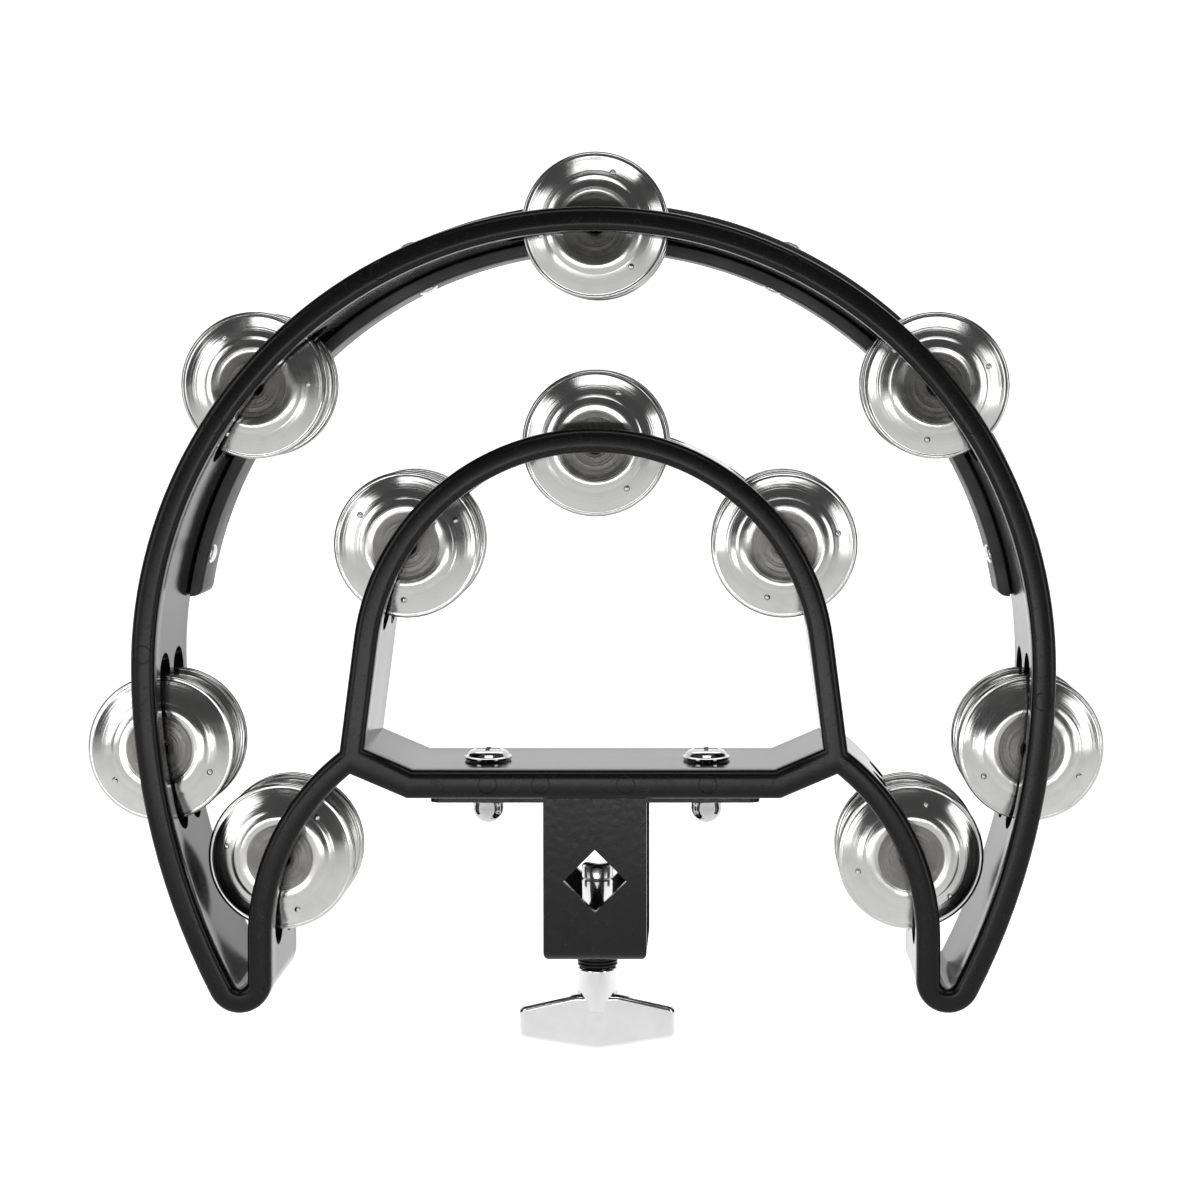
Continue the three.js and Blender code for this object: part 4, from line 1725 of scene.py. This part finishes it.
@dataclass
class ClampScrew:
    """The screw, its swivelling tip and its T-shaped handle."""

    radius: float = 4.7 * MM
    pitch: float = 1.5 * MM
    thread: float = 0.55 * MM
    smooth_top: float = 8.0 * MM
    spigot: float = 2.0 * MM
    neck_radius: float = 6.15 * MM
    neck_length: float = 8.5 * MM
    wing_height: float = 9.3 * MM
    wing_lift: float = 2.9 * MM
    wing_thick: float = 3.0 * MM
    middle_thick: float = 5.5 * MM

    def tip(self) -> bpy.types.Mesh:
        """The tip, a short button with a socket underneath.

        Returns:
            The mesh.
        """
        low, high = node_box("screw_tip")
        r, hole = self.radius, self.spigot + 0.3 * MM
        profile = [
            (0, low.z + 2.4 * MM),
            (hole, low.z + 2.4 * MM),
            (hole, low.z),
            (r - 0.35 * MM, low.z),
            (r, low.z + 0.35 * MM),
            (r, high.z - 1.1 * MM),
            (r - 0.25 * MM, high.z - 0.5 * MM),
            (r - 0.8 * MM, high.z - 0.12 * MM),
            (r - 1.4 * MM, high.z),
            (0, high.z),
        ]
        return smoothed(turned("tip_button", profile, 56, Matrix()), 44.0)

    def screw(self, finish: bpy.types.Material) -> bpy.types.Mesh:
        """The screw: a core with a smooth top, a spigot and a helical thread.

        Args:
            finish: its material.

        Returns:
            The mesh.
        """
        low, high = node_box("clamp_screw")
        shoulder = high.z - 2.4 * MM
        r, core = self.radius, self.radius - self.thread
        smooth_from = shoulder - self.smooth_top
        profile = [
            (0, low.z),
            (core, low.z),
            (core, smooth_from - 0.6 * MM),
            (r, smooth_from),
            (r, shoulder - 0.4 * MM),
            (r - 0.4 * MM, shoulder),
            (self.spigot, shoulder),
            (self.spigot, high.z),
            (0, high.z),
        ]
        body = turned("screw_core", profile, 56, Matrix())
        tree = GrowthTree(
            "screw_thread",
            {
                "Turns": ("NodeSocketFloat", 4.0),
                "Height": ("NodeSocketFloat", 0.01),
                "Radius": ("NodeSocketFloat", 0.004),
                "Ridge": ("NodeSocketFloat", 0.0004),
                "Bottom": ("NodeSocketFloat", 0.0),
            },
        )
        helix = tree.node(
            "GeometryNodeCurveSpiral",
            None,
            {
                "Resolution": 40,
                "Rotations": tree.given("Turns"),
                "Start Radius": tree.given("Radius"),
                "End Radius": tree.given("Radius"),
                "Height": tree.given("Height"),
            },
        )
        lift = tree.node("ShaderNodeCombineXYZ", None, {2: tree.given("Bottom")})
        placed = tree.node("GeometryNodeTransform", None, {"Geometry": helix, "Translation": lift})
        ridge = tree.node(
            "GeometryNodeCurvePrimitiveCircle", None, {"Resolution": 6, "Radius": tree.given("Ridge")}
        )
        wound = tree.node(
            "GeometryNodeCurveToMesh", None, {"Curve": placed, "Profile Curve": ridge, "Fill Caps": True}
        )
        both = tree.node("GeometryNodeJoinGeometry", None, {0: [tree.given("Geometry"), wound]})
        tree.close(both)
        length = smooth_from - 1.2 * MM - low.z - MM
        sizes = {
            "Turns": length / self.pitch,
            "Height": length,
            "Radius": core + 0.02 * MM,
            "Ridge": self.thread * 0.85,
            "Bottom": low.z + MM,
        }
        mesh = tree.grow("screw_turned", body, sizes, finish)
        mesh.set_sharp_from_angle(angle=math.radians(44))
        return mesh

    def handle(self) -> bpy.types.Mesh:
        """The handle: a round neck over two wings that meet in an upright crease.

        Returns:
            The mesh.
        """
        low, high = node_box("t_handle")
        half = high.x
        neck_bottom = high.z - self.neck_length
        tip_bottom = low.z + self.wing_lift
        tip_top = tip_bottom + self.wing_height
        stations = 36
        sections = []
        for i in range(2 * stations + 1):
            x = half * (i / stations - 1)
            away = abs(x) / half
            bottom = low.z + (tip_bottom - low.z) * away
            start = self.neck_radius / half
            t = max(0.0, (away - start) / (1 - start))
            swoop = 2 * t * (1 - t) * (neck_bottom - MM)
            top = (1 - t) ** 2 * (neck_bottom + MM) + swoop + t**2 * tip_top
            thick = self.middle_thick + (self.wing_thick - self.middle_thick) * away
            corner = 1.5 * MM
            end = max(0.0, away - 0.94) / 0.06
            shrink = 1 - 0.16 * end**2.5
            middle, deep = (top + bottom) / 2, thick * shrink
            tall = (top - bottom) / 2 * (1 - 0.1 * end**2.5)
            ring = []
            for sx, sz, start_angle in ((1, 1, 0), (-1, 1, 90), (-1, -1, 180), (1, -1, 270)):
                for k in range(5):
                    angle = math.radians(start_angle + 90 * k / 4)
                    ring.append(
                        (
                            x,
                            sx * (deep - corner) + corner * math.cos(angle),
                            middle + sz * (tall - corner) + corner * math.sin(angle),
                        )
                    )
            sections.append(ring)
        wings = lofted("wings", sections, False)
        r = self.neck_radius
        neck = turned(
            "neck",
            [
                (0, neck_bottom - 6.0 * MM),
                (r - 3.0 * MM, neck_bottom - 6.0 * MM),
                (r - 0.5 * MM, neck_bottom - 3.8 * MM),
                (r - 0.1 * MM, neck_bottom),
                (r - 0.1 * MM, high.z - 0.5 * MM),
                (r - 0.35 * MM, high.z - 0.12 * MM),
                (r - 0.7 * MM, high.z),
                (0, high.z),
            ],
            56,
            Matrix(),
        )
        whole = combined(wings, neck, "UNION")
        screw_low, _ = node_box("clamp_screw")
        hole = self.radius + 0.3 * MM
        bottom, top = screw_low.z - 0.3 * MM, high.z + MM
        drill = turned("drill", [(0, bottom), (hole, bottom), (hole, top), (0, top)], 48, Matrix())
        whole = combined(whole, drill, "DIFFERENCE")
        whole.name = "handle_cast"
        return softened(whole, 0.5 * MM, 3, 34.0)

    def build(self, finish: bpy.types.Material) -> None:
        """Builds and dresses the screw, the tip and the handle.

        Args:
            finish: their material.
        """
        piece(self.tip(), finish, TIP_BODY, ["screw_tip"])
        piece(self.screw(finish), None, SCREW_BODY, ["clamp_screw"])
        piece(self.handle(), finish, SCREW_BODY, ["t_handle"])


# ---- Studio ----------------------------------------------------------------------------------------------


@dataclass
class SoftBox:
    """One large soft light."""

    name: str
    at: tuple[float, float, float]
    width: float
    height: float
    power: float


@dataclass
class Studio:
    """A pale floor that curves up behind, soft lights and the camera."""

    floor_z: float = -0.16
    back_y: float = 1.5
    bend: float = 0.6
    half_width: float = 12.0
    height: float = 3.2
    aim: tuple[float, float, float] = (0.0, 0.0, 0.06)
    camera_at: tuple[float, float, float] = (0.0346, -0.703, 0.149)
    lens: float = 71.4
    pitch: float = -1.6  # degrees below level
    shift: tuple[float, float] = (-0.095, -0.1379)
    sky: float = 0.08
    boxes: tuple[SoftBox, ...] = (
        SoftBox("left_box", (-1.0, -1.15, 0.35), 0.5, 0.9, 3.8),
        SoftBox("right_box", (1.0, -1.05, 0.2), 0.4, 0.8, 2.8),
        SoftBox("top_box", (0.1, -1.0, 1.15), 1.0, 0.4, 3.6),
        SoftBox("low_box", (-0.1, -1.1, -0.08), 0.7, 0.12, 1.4),
        SoftBox("back_box", (0.0, 0.9, 1.3), 1.6, 0.6, 5.0),
    )

    def card(self) -> None:
        """Builds the floor and backdrop as one curved card."""
        steps = 16
        path = [(-self.half_width, self.floor_z)]
        for i in range(steps + 1):
            angle = math.pi / 2 * i / steps
            y = self.back_y - self.bend + self.bend * math.sin(angle)
            path.append((y, self.floor_z + self.bend * (1 - math.cos(angle))))
        path.append((self.back_y, self.height))
        points = [(side * self.half_width, y, z) for y, z in path for side in (-1, 1)]
        faces = [(2 * i, 2 * i + 1, 2 * i + 3, 2 * i + 2) for i in range(len(path) - 1)]
        mesh = bpy.data.meshes.new("studio_card")
        mesh.from_pydata(points, [], faces)
        mesh.polygons.foreach_set("use_smooth", [True] * len(mesh.polygons))
        mesh.materials.append(StudioCard().material())
        card = bpy.data.objects.new("studio_card", mesh)
        bpy.context.scene.collection.objects.link(card)

    def lights(self) -> None:
        """Builds the soft boxes and the even light from all round."""
        for box in self.boxes:
            light = bpy.data.lights.new(box.name, "AREA")
            light.shape = "RECTANGLE"
            light.size, light.size_y, light.energy = box.width, box.height, box.power
            lamp = bpy.data.objects.new(box.name, light)
            lamp.location = box.at
            lamp.rotation_mode = "QUATERNION"
            lamp.rotation_quaternion = (Vector(self.aim) - Vector(box.at)).to_track_quat("-Z", "Y")
            bpy.context.scene.collection.objects.link(lamp)
        world = bpy.data.worlds.new("studio_air")
        world.use_nodes = True
        sky = world.node_tree.nodes["Background"]
        sky.inputs["Color"].default_value = (self.sky, self.sky, self.sky, 1.0)
        sky.inputs["Strength"].default_value = 1.0
        bpy.context.scene.world = world

    def camera(self) -> None:
        """Builds the camera, which looks along +Y and a little down."""
        data = bpy.data.cameras.new("camera")
        data.lens = self.lens
        data.shift_x, data.shift_y = self.shift
        camera = bpy.data.objects.new("camera", data)
        camera.location = self.camera_at
        camera.rotation_euler = (math.radians(90 + self.pitch), 0.0, 0.0)
        bpy.context.scene.collection.objects.link(camera)
        bpy.context.scene.camera = camera

    def build(self) -> None:
        """Builds the studio."""
        self.card()
        self.lights()
        self.camera()
        bpy.context.scene.view_settings.view_transform = "Standard"


def main() -> None:
    """Builds every sub-assembly, then the studio."""
    logging.basicConfig(level=logging.INFO, format="%(name)s %(message)s")
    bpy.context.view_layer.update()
    # the fasteners' plating is painted darker: painted shade in place of the dark reflections in their
    # heads, flanges and domes
    plating = Plating().material()
    pin_steel = Plating("drawn_steel", 0.7, 0.22, 0.00001).material()
    shell = MouldedFrame()
    shell.build(MouldedPlastic().material())
    StrikingBar(shell).build(BarRubber().material(), pin_steel)
    # a copy of the steel painted near black: painted shade for the rear row's front discs, between the two
    # rows
    painted_shade_steel = SpunSteel("spun_steel_dull", shade=0.08, hub_shade=0.08, roughness=0.3).material()
    JingleSet(shell).build(SpunSteel().material(), painted_shade_steel)
    JinglePins(shell).build(pin_steel)
    ClampBracket().build(GlossPaint().material())
    Fasteners().build(plating)
    # the clamp's plating is a lighter copy, painted light so that the handle reads near white
    ClampScrew().build(Plating("clamp_plating", 0.74, 0.1).material())
    Studio().build()


if __name__ == "__main__":
    main()
